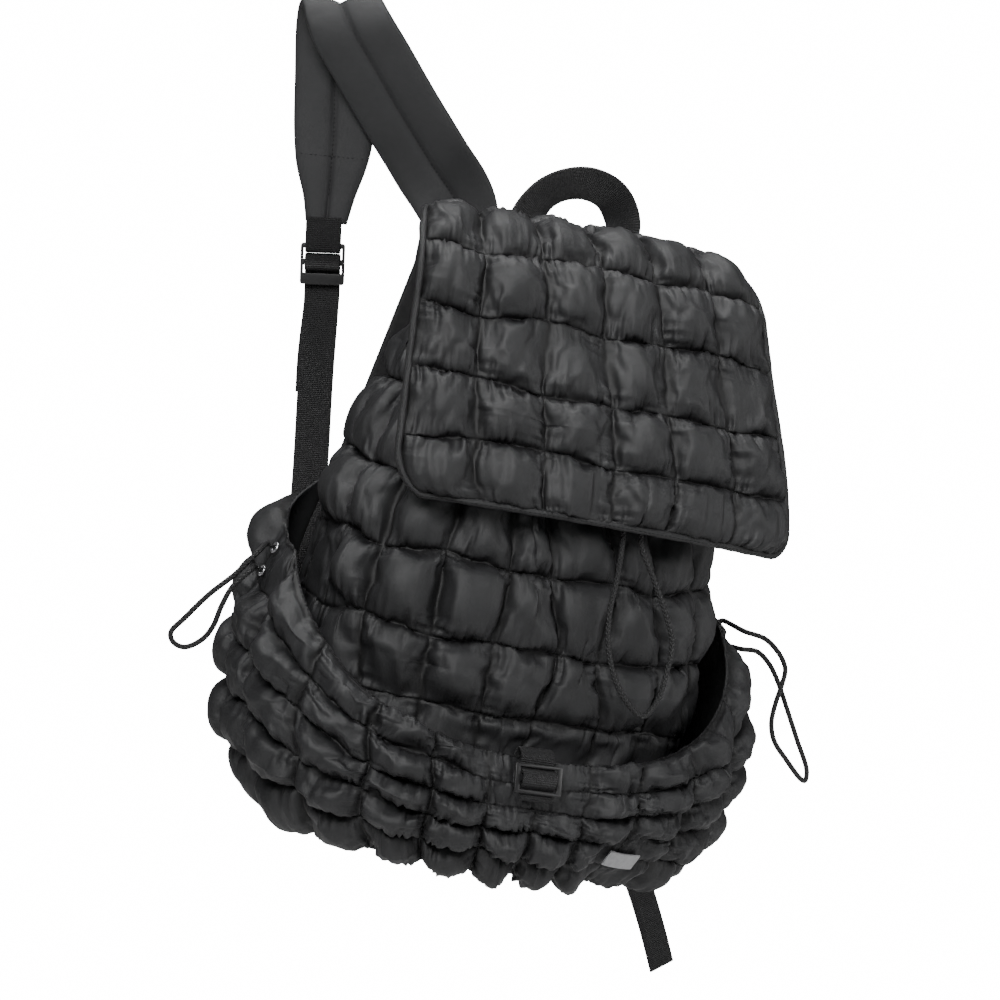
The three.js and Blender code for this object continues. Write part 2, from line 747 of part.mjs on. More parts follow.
function fromLock(lock, depth, height) {
  const place = vec(0, depth, height);
  place.applyAxisAngle(vec(0, 1, 0), lock.lean);
  place.applyAxisAngle(UPRIGHT, lock.turn);
  return place.add(lock.place);
}

// How the webbing threads a lock: depth behind it and height from its middle.
const LINK_ROUTE = [
  { depth: -3.3, height: 10.4 },
  { depth: -2.2, height: 8.6 },
  { depth: 2.2, height: 8.6 },
  { depth: 3.3, height: 10.4 },
];
const THREAD_ROUTE = [
  { depth: 3.4, height: -24 },
  { depth: 3.3, height: -5.6 },
  { depth: -3.2, height: -2.2 },
  { depth: -3.5, height: 3.8 },
  { depth: 3.2, height: 6.2 },
  { depth: 6.4, height: 3.6 },
  { depth: 6.8, height: -8 },
  { depth: 6.8, height: -24 },
];
const SLIM_WEB = 24;

function threadedThrough(lock, route) {
  return route.map((row) => ({
    place: fromLock(lock, row.depth, row.height),
    turn: lock.turn,
    lean: lock.lean,
  }));
}

function link(lock) {
  const front = { depth: LINK_ROUTE[0].depth, height: lock.link };
  const rear = { depth: -front.depth, height: lock.link };
  return band(threadedThrough(lock, [front, ...LINK_ROUTE, rear]), SLIM_WEB, WEB_THICK);
}

// The main webbing: up from the lower corner, through the lock and down to a free tail.
const LEFT_WEB = [
  { x: -79, y: 81.4, z: 41, turn: 0 },
  { x: -80, y: 82.8, z: 62, turn: 0 },
  { x: -77, y: 89, z: 100, turn: -0.06 },
  { x: -69, y: 98, z: 160, turn: -0.2 },
  { x: -59.5, y: 107, z: 230, turn: -0.33 },
  { x: -53, y: 112, z: 300, turn: -0.35 },
];
const LEFT_TAIL = [
  { x: -52.5, y: 115.6, z: 310, turn: -0.35 },
  { x: -54.5, y: 115, z: 285, turn: -0.35 },
];
const RIGHT_WEB = [
  { x: 88.7, y: 81.4, z: 2, turn: 0 },
  { x: 97, y: 82.8, z: 17, turn: 0 },
  { x: 112, y: 90, z: 35, turn: 0.04 },
  { x: 130, y: 100, z: 54, turn: 0.1 },
];
const RIGHT_TAIL = [
  { x: 146, y: 114, z: 52, turn: 0.14 },
  { x: 146, y: 110, z: 22, turn: 0.2 },
  { x: 152, y: 100, z: -12, turn: 0.28 },
  { x: 163, y: 90, z: -42, turn: 0.34 },
  { x: 173, y: 83, z: -72, turn: 0.38 },
  { x: 181, y: 78, z: -102, turn: 0.4 },
  { x: 188, y: 75, z: -132, turn: 0.4 },
];

function webbing(lock, rising, falling) {
  const placed = (row) => ({ place: vec(row.x, row.y, row.z), turn: row.turn });
  const threaded = threadedThrough(lock, THREAD_ROUTE);
  return band([...rising.map(placed), ...threaded, ...falling.map(placed)], SLIM_WEB, WEB_THICK);
}

// A small sewn tab under the end of each webbing, on the back panel.
const ANCHOR_X = 84;
const ANCHOR_Z = 12;
const ANCHOR_FOOT = 16;
const ANCHOR_HEAD = 13;
const ANCHOR_HIGH = 30;
const ANCHOR_THICK = 1.8;

function anchorTab() {
  const outline = new THREE.Shape();
  outline.moveTo(-ANCHOR_FOOT, 0);
  outline.lineTo(ANCHOR_FOOT, 0);
  outline.lineTo(ANCHOR_HEAD, ANCHOR_HIGH);
  outline.lineTo(-ANCHOR_HEAD, ANCHOR_HIGH);
  outline.closePath();
  return panel(outline, ANCHOR_THICK, 0);
}

// The carry handle, from foot to foot over the top, where its width leans back a little.
const HANDLE_OFFSET = 16;
const HANDLE_ROUTE = [
  { x: -23, z: 374 },
  { x: -23, z: 392 },
  { x: -22, z: 407 },
  { x: -17, z: 419 },
  { x: -8, z: 430.5 },
  { x: 4, z: 438.5 },
  { x: 18, z: 442.5 },
  { x: 31, z: 441.5 },
  { x: 41, z: 437 },
  { x: 48, z: 428.5 },
  { x: 51, z: 418 },
  { x: 48, z: 407 },
  { x: 41, z: 397 },
  { x: 35, z: 388 },
  { x: 34, z: 374 },
];
const HANDLE_LIE = 0.3;
const HANDLE_Y = 90;
const HANDLE_FOOT_Y = BACK_PANEL_Y + PANEL_THICK + GAP + WEB_THICK;

function carryHandle() {
  const rings = HANDLE_ROUTE.map((row, i) => {
    const before = HANDLE_ROUTE[Math.max(i - 1, 0)];
    const after = HANDLE_ROUTE[Math.min(i + 1, HANDLE_ROUTE.length - 1)];
    const ahead = vec(after.x - before.x, 0, after.z - before.z).normalize();
    const rise = THREE.MathUtils.smoothstep(row.z, 400, 440);
    const lie = HANDLE_LIE * rise;
    const wide = vec(ahead.z * (1 - lie), lie, -ahead.x * (1 - lie)).normalize();
    const out = new THREE.Vector3().crossVectors(wide, ahead).normalize();
    const depth = HANDLE_FOOT_Y + (HANDLE_Y - HANDLE_FOOT_Y) * rise;
    const middle = vec(HANDLE_OFFSET + row.x, depth, row.z);
    const corners = [[-1, -1], [1, -1], [1, 1], [-1, 1]];
    return corners.map(([w, t]) =>
      middle.clone().addScaledVector(wide, (w * WEB_WIDE) / 2).addScaledVector(out, t * WEB_THICK),
    );
  });
  return loft(rings);
}

// A frame on a surface: its middle, its outward axis, its upward axis and its right.
function surfaceFrame(surface, angle, rise, off) {
  const out = normalOf(surface, angle, rise);
  const up = surface(angle, rise + 0.05).sub(surface(angle, rise - 0.05));
  up.addScaledVector(out, -up.dot(out)).normalize();
  const right = new THREE.Vector3().crossVectors(up, out);
  return { place: surface(angle, rise).addScaledVector(out, off), out, up, right };
}

// Stands a mesh modelled with its face along -Y on such a frame.
function standOn(mesh, frame) {
  const turned = new THREE.Matrix4().makeBasis(frame.right, frame.out.clone().negate(), frame.up);
  mesh.quaternion.setFromRotationMatrix(turned);
  mesh.position.copy(frame.place);
}

// The webbing tab on the pocket's rim threads a slim slider.
const TAB_RISE = 0.84;
const TAB_OFF = 10.5;
const SLIDER_WIDE = 33;
const SLIDER_HIGH = 19.2;
const SLIDER_THICK = 2;
const SLIDER_BAR = 2;
const SLIDER_SLOT = 5.4;
const tabFrame = surfaceFrame(pocketFace, FRONT_TAB_ANGLE, TAB_RISE, TAB_OFF);

function sliderShape() {
  const outline = new THREE.Shape();
  outline.moveTo(-SLIDER_WIDE / 2, -SLIDER_HIGH / 2);
  outline.lineTo(SLIDER_WIDE / 2, -SLIDER_HIGH / 2);
  outline.lineTo(SLIDER_WIDE / 2, SLIDER_HIGH / 2);
  outline.lineTo(-SLIDER_WIDE / 2, SLIDER_HIGH / 2);
  outline.closePath();
  for (const side of [-1, 1]) {
    const near = side * SLIDER_BAR;
    const far = side * (SLIDER_BAR + SLIDER_SLOT);
    const hole = new THREE.Path();
    hole.moveTo(-SLOT_WIDE / 2, near);
    hole.lineTo(-SLOT_WIDE / 2, far);
    hole.lineTo(SLOT_WIDE / 2, far);
    hole.lineTo(SLOT_WIDE / 2, near);
    hole.closePath();
    outline.holes.push(hole);
  }
  const shape = new THREE.ExtrudeGeometry(outline, { depth: SLIDER_THICK, bevelEnabled: false });
  shape.translate(0, 0, -SLIDER_THICK / 2);
  shape.rotateX(Math.PI / 2);
  return shape;
}

// How the tab's webbing passes the slider: outward from its middle plane, and up.
const TAB_ROUTE = [
  { out: -2.5, up: 7 },
  { out: 2.5, up: 3.2 },
  { out: 2.5, up: -3.2 },
  { out: -2.5, up: -7 },
  { out: -1.7, up: -14 },
];
// And how it lies on the rim: share of the pocket's height and standing off its inner face.
const TAB_RIM = [
  { rise: 0.66, off: -2.4, up: 0 },
  { rise: 0.86, off: -2.4, up: 0 },
  { rise: 0.98, off: -2.4, up: 5 },
  { rise: 0.99, off: 4.5, up: 8 },
  { rise: 0.97, off: 9.4, up: 3.6 },
];

function frontTab() {
  const angle = FRONT_TAB_ANGLE;
  const rim = TAB_RIM.map((row) => {
    const frame = surfaceFrame(pocketFace, angle, Math.min(row.rise, 0.94), 0);
    const place = pocketFace(angle, row.rise).addScaledVector(frame.out, row.off);
    return { place: place.addScaledVector(frame.up, row.up), wide: tabFrame.right };
  });
  const threaded = TAB_ROUTE.map((row) => ({
    place: tabFrame.place.clone().addScaledVector(tabFrame.out, row.out).addScaledVector(tabFrame.up, row.up),
    wide: tabFrame.right,
  }));
  return band([...rim, ...threaded], SLIM_WEB, WEB_THICK);
}

function eyeletShape() {
  const half = EYELET_THICK / 2;
  const profile = [
    new THREE.Vector2(EYELET_IN, -half),
    new THREE.Vector2(EYELET_OUT, -half),
    new THREE.Vector2(EYELET_OUT, half),
    new THREE.Vector2(EYELET_IN, half),
    new THREE.Vector2(EYELET_IN, -half),
  ];
  return new THREE.LatheGeometry(profile, 12);
}

// Each drawcord leaves one eyelet of a pair and comes back to the other.
const EYELET_OFF = 6;
const CORD_EXIT = 2;
const EYELET_APART = 0.045;
const MOUTH_EYELETS_X = [35, 50];
const MOUTH_EYELET_Z = 0.655 * BODY_HEIGHT;
const MOUTH_EYELET_OFF = 8.3;
const MOUTH_EYELET_Y = bodyFace(0, MOUTH_EYELET_Z).y - MOUTH_EYELET_OFF;

function pocketEyelet(side, step) {
  return surfaceFrame(pocketFace, side * EYELET_ANGLE, EYELET_RISE + step * EYELET_APART, EYELET_OFF);
}

const eyelets = {
  mouth: MOUTH_EYELETS_X.map((x) => ({
    place: vec(x, MOUTH_EYELET_Y, MOUTH_EYELET_Z),
    out: vec(0, -1, 0),
    up: UPRIGHT.clone(),
    right: vec(1, 0, 0),
  })),
  left_pocket: [pocketEyelet(-1, 1), pocketEyelet(-1, -1)],
  right_pocket: [pocketEyelet(1, 1), pocketEyelet(1, -1)],
};

// The cords' routes in the hanging frame, between the eyelets.
const CORD_ROUTES = {
  mouth: [
    [93, -86, 238], [91.3, -90, 211.5], [83.1, -99, 184], [76.3, -104, 162.9], [74.4, -108, 141.9],
    [78.4, -111, 121.1], [86.2, -113, 106.1], [96.8, -113, 96.7], [107.4, -112, 106.9],
    [113.9, -110, 123], [119.3, -107, 142.5], [116.5, -103, 160.3], [110.4, -98, 182.2],
    [103.8, -90, 207.8], [107, -86, 235],
  ],
  left_pocket: [
    [-134, -14, 202], [-147.7, -14, 189.8], [-165.3, -10, 176], [-180.1, -6, 161.3],
    [-189.4, -4, 151.5], [-188, -4, 145.3], [-181.6, -8, 142.1], [-171, -12, 147],
    [-164.8, -18, 157], [-160.4, -22, 170.3], [-153.4, -24, 183], [-141, -22, 192.4],
  ],
  right_pocket: [
    [215.6, -2, 123], [230.5, -4, 116.9], [240.4, -6, 105.7], [244.6, -6, 95.3], [242.5, -6, 85.3],
    [237.5, -6, 71.4], [234.7, -6, 58.1], [236.9, -6, 45.7], [246, -6, 31.7], [257.4, -6, 16.8],
    [260.9, -5, 15.2], [263, -3, 21.8], [256.7, 0, 43.5], [249.3, 3, 67.8], [244, 4, 83.5],
    [236.9, 4, 97.5], [227.4, 3, 107], [215, 1, 110],
  ],
};

function cordShape(pair, route) {
  const exit = (frame) => {
    const steps = [0, 1, 2].map((step) =>
      frame.place.clone().addScaledVector(frame.out, EYELET_THICK / 2 + GAP + step * CORD_EXIT),
    );
    return steps.map((place) => tilted(place.x, place.y, place.z));
  };
  const places = [
    ...exit(pair[0]),
    ...route.map(([x, y, z]) => vec(x, y, z)),
    ...exit(pair[1]).reverse(),
  ];
  const path = new THREE.CatmullRomCurve3(places, false, 'centripetal');
  const round = new THREE.Shape();
  for (let i = 0; i < CORD_SIDES; i += 1) {
    const angle = (2 * Math.PI * i) / CORD_SIDES;
    const x = CORD_RADIUS * Math.cos(angle);
    const y = CORD_RADIUS * Math.sin(angle);
    if (i === 0) {
      round.moveTo(x, y);
    } else {
      round.lineTo(x, y);
    }
  }
  const steps = Math.ceil(path.getLength() / CORD_STEP);
  return new THREE.ExtrudeGeometry(round, { steps, bevelEnabled: false, extrudePath: path });
}

const LABEL_WIDE = 27;
const LABEL_HIGH = 12;
const LABEL_THICK = 1.2;
const LABEL_OFF = 5.8;

const bagParts = [];
const hungParts = [];

function add(list, name, shape, finish) {
  const mesh = new THREE.Mesh(shape, new THREE.MeshStandardMaterial(finish));
  mesh.name = name;
  list.push(mesh);
  return mesh;
}

add(bagParts, 'body', body(), FABRIC);
add(bagParts, 'back_panel', backPanel(), LINER);
add(bagParts, 'base_panel', basePanel(), LINER);
add(bagParts, 'front_pocket', frontPocket(), FABRIC);
add(bagParts, 'flap', flap(), FABRIC);
add(bagParts, 'flap_binding', flapBinding(), FABRIC);
add(bagParts, 'carry_handle', carryHandle(), WEBBING);
add(bagParts, 'front_tab_webbing', frontTab(), WEBBING);
standOn(add(bagParts, 'front_tab_slider', sliderShape(), PLASTIC), tabFrame);
standOn(
  add(bagParts, 'label', new THREE.BoxGeometry(LABEL_WIDE, LABEL_THICK, LABEL_HIGH), PATCH),
  surfaceFrame(pocketFace, LABEL_ANGLE, LABEL_RISE, LABEL_OFF),
);

for (const [place, pair] of Object.entries(eyelets)) {
  pair.forEach((frame, i) => {
    const ring = add(bagParts, `${place}_eyelet_${i + 1}`, eyeletShape(), METAL);
    standOn(ring, frame);
  });
  add(hungParts, `${place}_cord`, cordShape(pair, CORD_ROUTES[place]), CORD);
}

add(hungParts, 'left_strap_pad', pad(padStations(LEFT_PAD, LEFT_PAD_FREE, STRAP_FACE)), FABRIC);
add(hungParts, 'right_strap_pad', pad(padStations(RIGHT_PAD, RIGHT_PAD_FREE, RIGHT_PAD_TURN)), FABRIC);

for (const [side, lock, rising, falling, corner] of [
  ['left', LEFT_LOCK, LEFT_WEB, LEFT_TAIL, -1],
  ['right', RIGHT_LOCK, RIGHT_WEB, RIGHT_TAIL, 1],
]) {
  const ladder = add(hungParts, `${side}_strap_lock`, lockShape(), PLASTIC);
  ladder.rotation.set(0, lock.lean, lock.turn, 'ZYX');
  ladder.position.copy(lock.place);
  add(hungParts, `${side}_strap_link`, link(lock), WEBBING);
  add(hungParts, `${side}_strap_webbing`, webbing(lock, rising, falling), WEBBING);
  const tab = add(bagParts, `${side}_anchor_tab`, anchorTab(), LINER);
  tab.position.set(corner * ANCHOR_X, BACK_PANEL_Y + PANEL_THICK + GAP, ANCHOR_Z);
}

const bag = new THREE.Group();
bag.name = 'bag';
bag.rotation.y = HANG_TILT;
bag.add(...bagParts);

// The strap hangs over a hook at the origin.
const HOOK = vec(-38, 99.5, 541);
const backpack = new THREE.Group();
backpack.name = 'backpack';
backpack.add(bag, ...hungParts);
backpack.position.copy(HOOK).negate();

export default backpack;
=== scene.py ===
# %% [markdown]
# # A quilted backpack, hanging from one strap
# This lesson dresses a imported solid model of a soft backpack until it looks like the
# real thing: puffed nylon held down by rows of stitching, ribbed webbing, plastic
# locks, drawcords and small metal eyelets. The solid model gives every piece its place
# and size. Each step below says what a piece is on the real bag and how it is made.

# %% Load the frame
import json
import math

import bmesh
import bpy
import numpy as np
from mathutils import Matrix, Vector

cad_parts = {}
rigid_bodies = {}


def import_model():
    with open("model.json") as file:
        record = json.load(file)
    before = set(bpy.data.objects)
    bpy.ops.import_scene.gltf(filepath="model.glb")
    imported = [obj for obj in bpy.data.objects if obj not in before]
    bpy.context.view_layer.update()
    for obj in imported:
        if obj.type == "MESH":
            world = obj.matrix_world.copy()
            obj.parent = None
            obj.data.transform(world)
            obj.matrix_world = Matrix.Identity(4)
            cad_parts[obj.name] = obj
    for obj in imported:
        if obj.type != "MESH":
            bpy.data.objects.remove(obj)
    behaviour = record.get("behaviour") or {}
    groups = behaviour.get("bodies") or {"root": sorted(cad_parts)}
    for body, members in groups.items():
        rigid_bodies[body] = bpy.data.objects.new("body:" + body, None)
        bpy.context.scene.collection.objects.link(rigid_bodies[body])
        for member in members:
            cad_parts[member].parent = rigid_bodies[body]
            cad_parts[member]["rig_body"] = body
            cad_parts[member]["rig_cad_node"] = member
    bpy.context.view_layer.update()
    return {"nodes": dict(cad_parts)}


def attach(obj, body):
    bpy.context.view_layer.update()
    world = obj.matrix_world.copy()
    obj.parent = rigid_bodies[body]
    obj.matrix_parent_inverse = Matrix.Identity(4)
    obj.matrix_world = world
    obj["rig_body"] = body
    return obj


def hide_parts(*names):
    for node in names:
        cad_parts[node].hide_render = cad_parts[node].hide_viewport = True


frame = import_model()
NODES = frame["nodes"]
MM = 0.001
print("nodes in the frame:", len(NODES))

# %% [markdown]
# ## The camera
# The picture was taken a little from the left and a little from above, with a long
# lens, so the bag shows hardly any perspective. One and a half pixels show a
# millimetre, so a thousand pixels show two thirds of a metre at the bag.

# %% Camera
VIEW_TURN = math.radians(-20)
VIEW_RISE = math.radians(10)
VIEW_FAR = 2.8
VIEW_FIELD = 1 / 1.5
AIM = Vector((0.0808, -0.0891, -0.3187))
SENSOR = 36

back = Vector((
    math.sin(VIEW_TURN) * math.cos(VIEW_RISE),
    -math.cos(VIEW_TURN) * math.cos(VIEW_RISE),
    math.sin(VIEW_RISE),
))
lens = bpy.data.cameras.new("camera")
lens.sensor_width = SENSOR
lens.lens = SENSOR * VIEW_FAR / VIEW_FIELD
camera = bpy.data.objects.new("camera", lens)
bpy.context.scene.collection.objects.link(camera)
camera.location = AIM + back * VIEW_FAR
camera.rotation_mode = "QUATERNION"
camera.rotation_quaternion = (-back).to_track_quat("-Z", "Y")
bpy.context.scene.camera = camera
print("lens", round(lens.lens), "mm")

# %% [markdown]
# ## The bag's frame
# The bag was drawn upright, standing on the middle of its base, and then tilted 13
# degrees as it hangs. The straps and cords were drawn as they hang. The hook that
# carries the top fold of the strap is the origin. All sizes here are in millimetres
# until a piece is made, because that is how a pattern maker thinks of a bag.

# %% Frames
HANG_TILT = math.radians(13)
HOOK = np.array((-38.0, 99.5, 541.0))
TILT = np.array((
    (math.cos(HANG_TILT), 0, math.sin(HANG_TILT)),
    (0, 1, 0),
    (-math.sin(HANG_TILT), 0, math.cos(HANG_TILT)),
))


def hung(points):
    """Points of the hanging frame in metres from the hook."""
    return (np.asarray(points, float) - HOOK) * MM


def bagged(points):
    """Points of the upright bag's frame in metres from the hook."""
    return hung(np.asarray(points, float) @ TILT.T)


def unit(v):
    return v / np.maximum(np.linalg.norm(v, axis=-1, keepdims=True), 1e-12)


def smooth(x, low, high):
    t = np.clip((x - low) / (high - low), 0, 1)
    return t * t * (3 - 2 * t)


def tilted(points):
    return np.asarray(points, float) @ TILT.T


# %% [markdown]
# ## Curves through a few points
# Straps, cords and the flap's side profile all follow a smooth curve through a few
# chosen points. A centripetal curve passes through each point without overshooting
# where points lie close together, which is what a folded strap needs.

# %% Smooth curves
def curve(points, steps=24):
    """Points along a centripetal curve through the given points, steps to a span."""
    p = np.asarray(points, float)
    p = np.vstack((2 * p[0] - p[1], p, 2 * p[-1] - p[-2]))
    line = []
    for a, b, c, d in zip(p[:-3], p[1:-2], p[2:-1], p[3:]):
        k0, k1, k2 = (max(np.linalg.norm(q - r), 1e-6) ** 0.5 for q, r in ((b, a), (c, b), (d, c)))
        s1 = ((b - a) / k0 - (c - a) / (k0 + k1) + (c - b) / k1) * k1
        s2 = ((c - b) / k1 - (d - b) / (k1 + k2) + (d - c) / k2) * k1
        t = np.linspace(0, 1, steps, endpoint=False)[:, None]
        line.append(
            b * (2 * t**3 - 3 * t**2 + 1)
            + s1 * (t**3 - 2 * t**2 + t)
            + c * (3 * t**2 - 2 * t**3)
            + s2 * (t**3 - t**2)
        )
    return np.vstack((*line, p[-2:-1]))


def lengths(line):
    steps = np.linalg.norm(np.diff(line, axis=0), axis=1)
    return np.concatenate(([0], np.cumsum(steps)))


def resample(rows, along, goal):
    """Each column of the rows, read at new distances along."""
    return np.stack([np.interp(goal, along, column) for column in rows.T], axis=-1)


def at_share(line, share):
    """The points at given shares of a line's length."""
    along = lengths(line)
    return resample(line, along, np.asarray(share) * along[-1])


def even(line, step):
    count = max(2, math.ceil(lengths(line)[-1] / step) + 1)
    return at_share(line, np.linspace(0, 1, count))


# %% [markdown]
# ## Surfaces of the bag
# The body is a rounded tube that narrows to the mouth. The front pocket stands off it
# and the flap hangs over it. Each surface is a function of two values, so a point of
# cloth is found from its place in the pattern. The tables repeat the solid model's.

# %% Body surface
BODY_HEIGHT, BODY_HALF, BODY_FRONT, BODY_BACK = 385, 134, 88, 68
GIRTH_HEIGHT = 110
BODY_SWAY = 10
GIRTH_WIDEST, FRONT_POWER, BACK_POWER = 0.3, 0.84, 0.42
WALL = 3.5
HEIGHTS = np.array((0, 0.06, 0.15, 0.3, 0.45, 0.6, 0.7, 0.8, 0.9, 1))
HALVES = np.array((0.78, 0.87, 0.96, 1, 0.96, 0.85, 0.74, 0.66, 0.62, 0.6))
FRONTS = np.array((0.8, 0.91, 0.98, 1, 0.93, 0.75, 0.6, 0.44, 0.25, 0.12))
BACKS = np.array((0.88, 0.97, 1, 1, 1, 1, 0.98, 0.94, 0.86, 0.76))


def sample(keys, values, at):
    """A table's value, passed smoothly through its rows."""
    last = len(keys) - 1
    row = np.searchsorted(keys[1:-1], at, side="left")
    low, high = np.maximum(row - 1, 0), np.minimum(row + 2, last)
    span = keys[row + 1] - keys[row]
    rise = values[row + 1] - values[row]
    slope_from = (values[row + 1] - values[low]) / (keys[row + 1] - keys[low])
    slope_to = (values[high] - values[row]) / (keys[high] - keys[row])
    t = np.clip((at - keys[row]) / span, 0, 1)
    pull = slope_from * span * t * (1 - t) ** 2 - slope_to * span * t * t * (1 - t)
    return values[row] + rise * t * t * (3 - 2 * t) + pull


def body_face(angle, height):
    share = np.clip(height / BODY_HEIGHT, 0, 1)
    half = BODY_HALF * sample(HEIGHTS, HALVES, share)
    front = BODY_FRONT * sample(HEIGHTS, FRONTS, share)
    rear = BODY_BACK * sample(HEIGHTS, BACKS, share)
    widest = (rear - front) * GIRTH_WIDEST
    ahead = np.cos(angle) > 0
    power = np.where(ahead, FRONT_POWER, BACK_POWER)
    side = np.sign(np.sin(angle)) * np.abs(np.sin(angle)) ** power
    depth = np.abs(np.cos(angle)) ** power
    y = np.where(ahead, widest - (front + widest) * depth, widest + (rear - widest) * depth)
    return np.stack((half * side + BODY_SWAY * (1 - share), y, height + 0 * angle), axis=-1)


def normal_of(surface, u, v, small=0.002):
    along_u = surface(u + small, v) - surface(u - small, v)
    along_v = surface(u, v + small) - surface(u, v - small)
    return unit(np.cross(along_u, along_v))


def body_out(angle, height):
    return normal_of(lambda a, h: body_face(a, h * BODY_HEIGHT), angle, height / BODY_HEIGHT)


def even_angles(start, end, steps):
    """Angles that cut a stretch of the girth into equal lengths."""
    fine = np.linspace(start, end, 401)
    girth = body_face(fine, np.full(401, float(GIRTH_HEIGHT)))
    along = lengths(girth)
    return np.interp(np.linspace(0, along[-1], steps + 1), along, fine)


# %% [markdown]
# ## Pocket and flap surfaces
# The pocket's rim is low in front and climbs to the sides, and the padding is held
# flat where the tab, the eyelets and the label are sewn. The flap's side profile runs
# from the back seam over the top and down the front.

# %% Pocket and flap surfaces
POCKET_BULGE, POCKET_RIM, POCKET_FOOT = 33, 228, 1
POCKET_END = math.radians(122)
TURNS = np.array((0, 0.2, 0.4, 0.6, 0.8, 1))
RIMS = np.array((0.33, 0.36, 0.45, 0.62, 0.82, 1))
RISES = np.array((0, 0.12, 0.25, 0.5, 0.8, 1))
BULGES = np.array((0.48, 0.8, 0.96, 1, 0.94, 0.72))
TAB_TURN, EYELET_TURN, LABEL_TURN = (math.radians(a) for a in (-1, 92, 28))
EYELET_RISE, LABEL_RISE = 0.9, 0.25
CALM = (
    (TAB_TURN, 0.86, 0.36, 0.45),
    (-EYELET_TURN, EYELET_RISE, 0.16, 0.16),
    (EYELET_TURN, EYELET_RISE, 0.16, 0.16),
    (LABEL_TURN, LABEL_RISE, 0.25, 0.28),
)


def pocket_rim(angle):
    turned = np.where(angle > math.pi, 2 * math.pi - angle, np.abs(angle))
    return POCKET_RIM * sample(TURNS, RIMS, np.minimum(turned / POCKET_END, 1))


def calm(angle, rise):
    least = 1.0
    for turn, middle, wide, tall in CALM:
        far = np.hypot((angle - turn) / wide, (rise - middle) / tall)
        least = np.minimum(least, smooth(far, 0.55, 1.1))
    return 0.12 + 0.88 * least


def pocket_face(angle, rise):
    height = POCKET_FOOT + (pocket_rim(angle) - POCKET_FOOT) * rise
    place = body_face(angle, np.maximum(height, 0))
    out = body_out(angle, np.maximum(height, 1))
    out[..., 2] = 0
    turn = np.minimum(np.abs(angle) / POCKET_END, 1)
    close = 1 - 0.7 * smooth(turn, 0.82, 1)
    place = place + unit(out) * (POCKET_BULGE * sample(RISES, BULGES, rise) * close)[..., None]
    place[..., 2] = height
    return place


FLAP_HALF, FLAP_SEAM_HALF, FLAP_FLARE, FLAP_SHIFT, FLAP_SWING, FLAP_BOW = 123, 85, 20, 8, 16, 24
FLAP_REACH, FLAP_TOP, FLAP_WALL = 100, BODY_HEIGHT + 20, 3
LEFT_CORNER, RIGHT_CORNER = 32, 20
BINDING_WIDE, GAP = 6, 0.4
FLAP_PROFILE = np.array((
    (-0.68, 0.895), (-0.675, 0.94), (-0.58, 0.978), (-0.3, 1.002), (0.06, 1),
    (0.33, 0.955), (0.56, 0.835), (0.8, 0.705), (1, 0.57),
))
flap_line = curve(FLAP_PROFILE * (-FLAP_REACH, FLAP_TOP), 60)
FLAP_LENGTH = lengths(flap_line)[-1]
FLAP_SEAMS = np.array((0, 0.15, 0.29, 0.44, 0.59, 0.74, 0.88, 1))


def flap_face(along, across):
    at = np.clip(along, 0, 1)
    middle = at_share(flap_line, at)
    down = smooth(at, 0.3, 1)
    left = FLAP_LENGTH * (1 - at)
    corner = np.where(across < 0, LEFT_CORNER, RIGHT_CORNER)
    room = np.maximum(corner - left, 0)
    inset = corner - np.sqrt(np.maximum(corner**2 - room**2, 0))
    widened = smooth(at, 0, 0.45)
    half = FLAP_SEAM_HALF + (FLAP_HALF - FLAP_SEAM_HALF) * widened + FLAP_FLARE * down - inset
    bow = FLAP_BOW * across**2 * smooth(at, 0.08, 0.35)
    y = middle[..., 0] + bow * (0.35 + 0.65 * down)
    x = FLAP_SHIFT + FLAP_SWING * down + half * across
    return np.stack((x, y, middle[..., 1] - 0.15 * bow), axis=-1)


print("flap length", round(FLAP_LENGTH), "mm")

# %% [markdown]
# ## Shader maths as plain expressions
# A fabric's colour and bump are sums and products of a few patterns. Wrapping a node's
# socket in a small class lets such a sum be written as plain arithmetic, and each
# operator adds its own Math node.

# %% Socket arithmetic
class Wave:
    """A socket of a material's node tree that can be added, multiplied and compared."""

    def __init__(self, tree, socket):
        self.tree = tree
        self.socket = socket

    def node(self, kind, settings=None, **inputs):
        made = self.tree.nodes.new(kind)
        for name, value in (settings or {}).items():
            setattr(made, name, value)
        for name, value in inputs.items():
            key = int(name[1:]) if name[0] == "i" and name[1:].isdigit() else name.replace("_", " ")
            if isinstance(value, Wave):
                self.tree.links.new(value.socket, made.inputs[key])
            else:
                made.inputs[key].default_value = value
        return made

    def made(self, kind, output, settings=None, **inputs):
        return Wave(self.tree, self.node(kind, settings, **inputs).outputs[output])

    def math(self, operation, other=0.0):
        return self.made("ShaderNodeMath", 0, {"operation": operation}, i0=self, i1=other)

    def __add__(self, other):
        return self.math("ADD", other)

    def __mul__(self, other):
        return self.math("MULTIPLY", other)

    def __sub__(self, other):
        return self.math("SUBTRACT", other)

    def sin(self):
        return self.math("SINE")

    def size(self):
        return self.math("ABSOLUTE")

    def blend(self, low, high):
        """A colour between two, mixed by this value."""
        return self.made(
            "ShaderNodeMix", 2, {"data_type": "RGBA"}, i0=self, i6=(*low, 1), i7=(*high, 1)
        )

    def with_painted_shade(self, unshaded_share):
        """This colour with painted shade: darkened towards near black where the share is low."""
        # Near black: the colour of the painted shade in the seams.
        painted_shade_black = (0.0015, 0.0015, 0.0016, 1)
        return self.made("ShaderNodeMix", 2, {"data_type": "RGBA"}, i0=unshaded_share, i6=painted_shade_black, i7=self)

    def stretch(self, low, high):
        return self.made("ShaderNodeMapRange", 0, i0=self, i1=low, i2=high)


def part(wave, kind):
    """X, Y or Z of a vector."""
    return wave.made("ShaderNodeSeparateXYZ", kind, i0=wave)


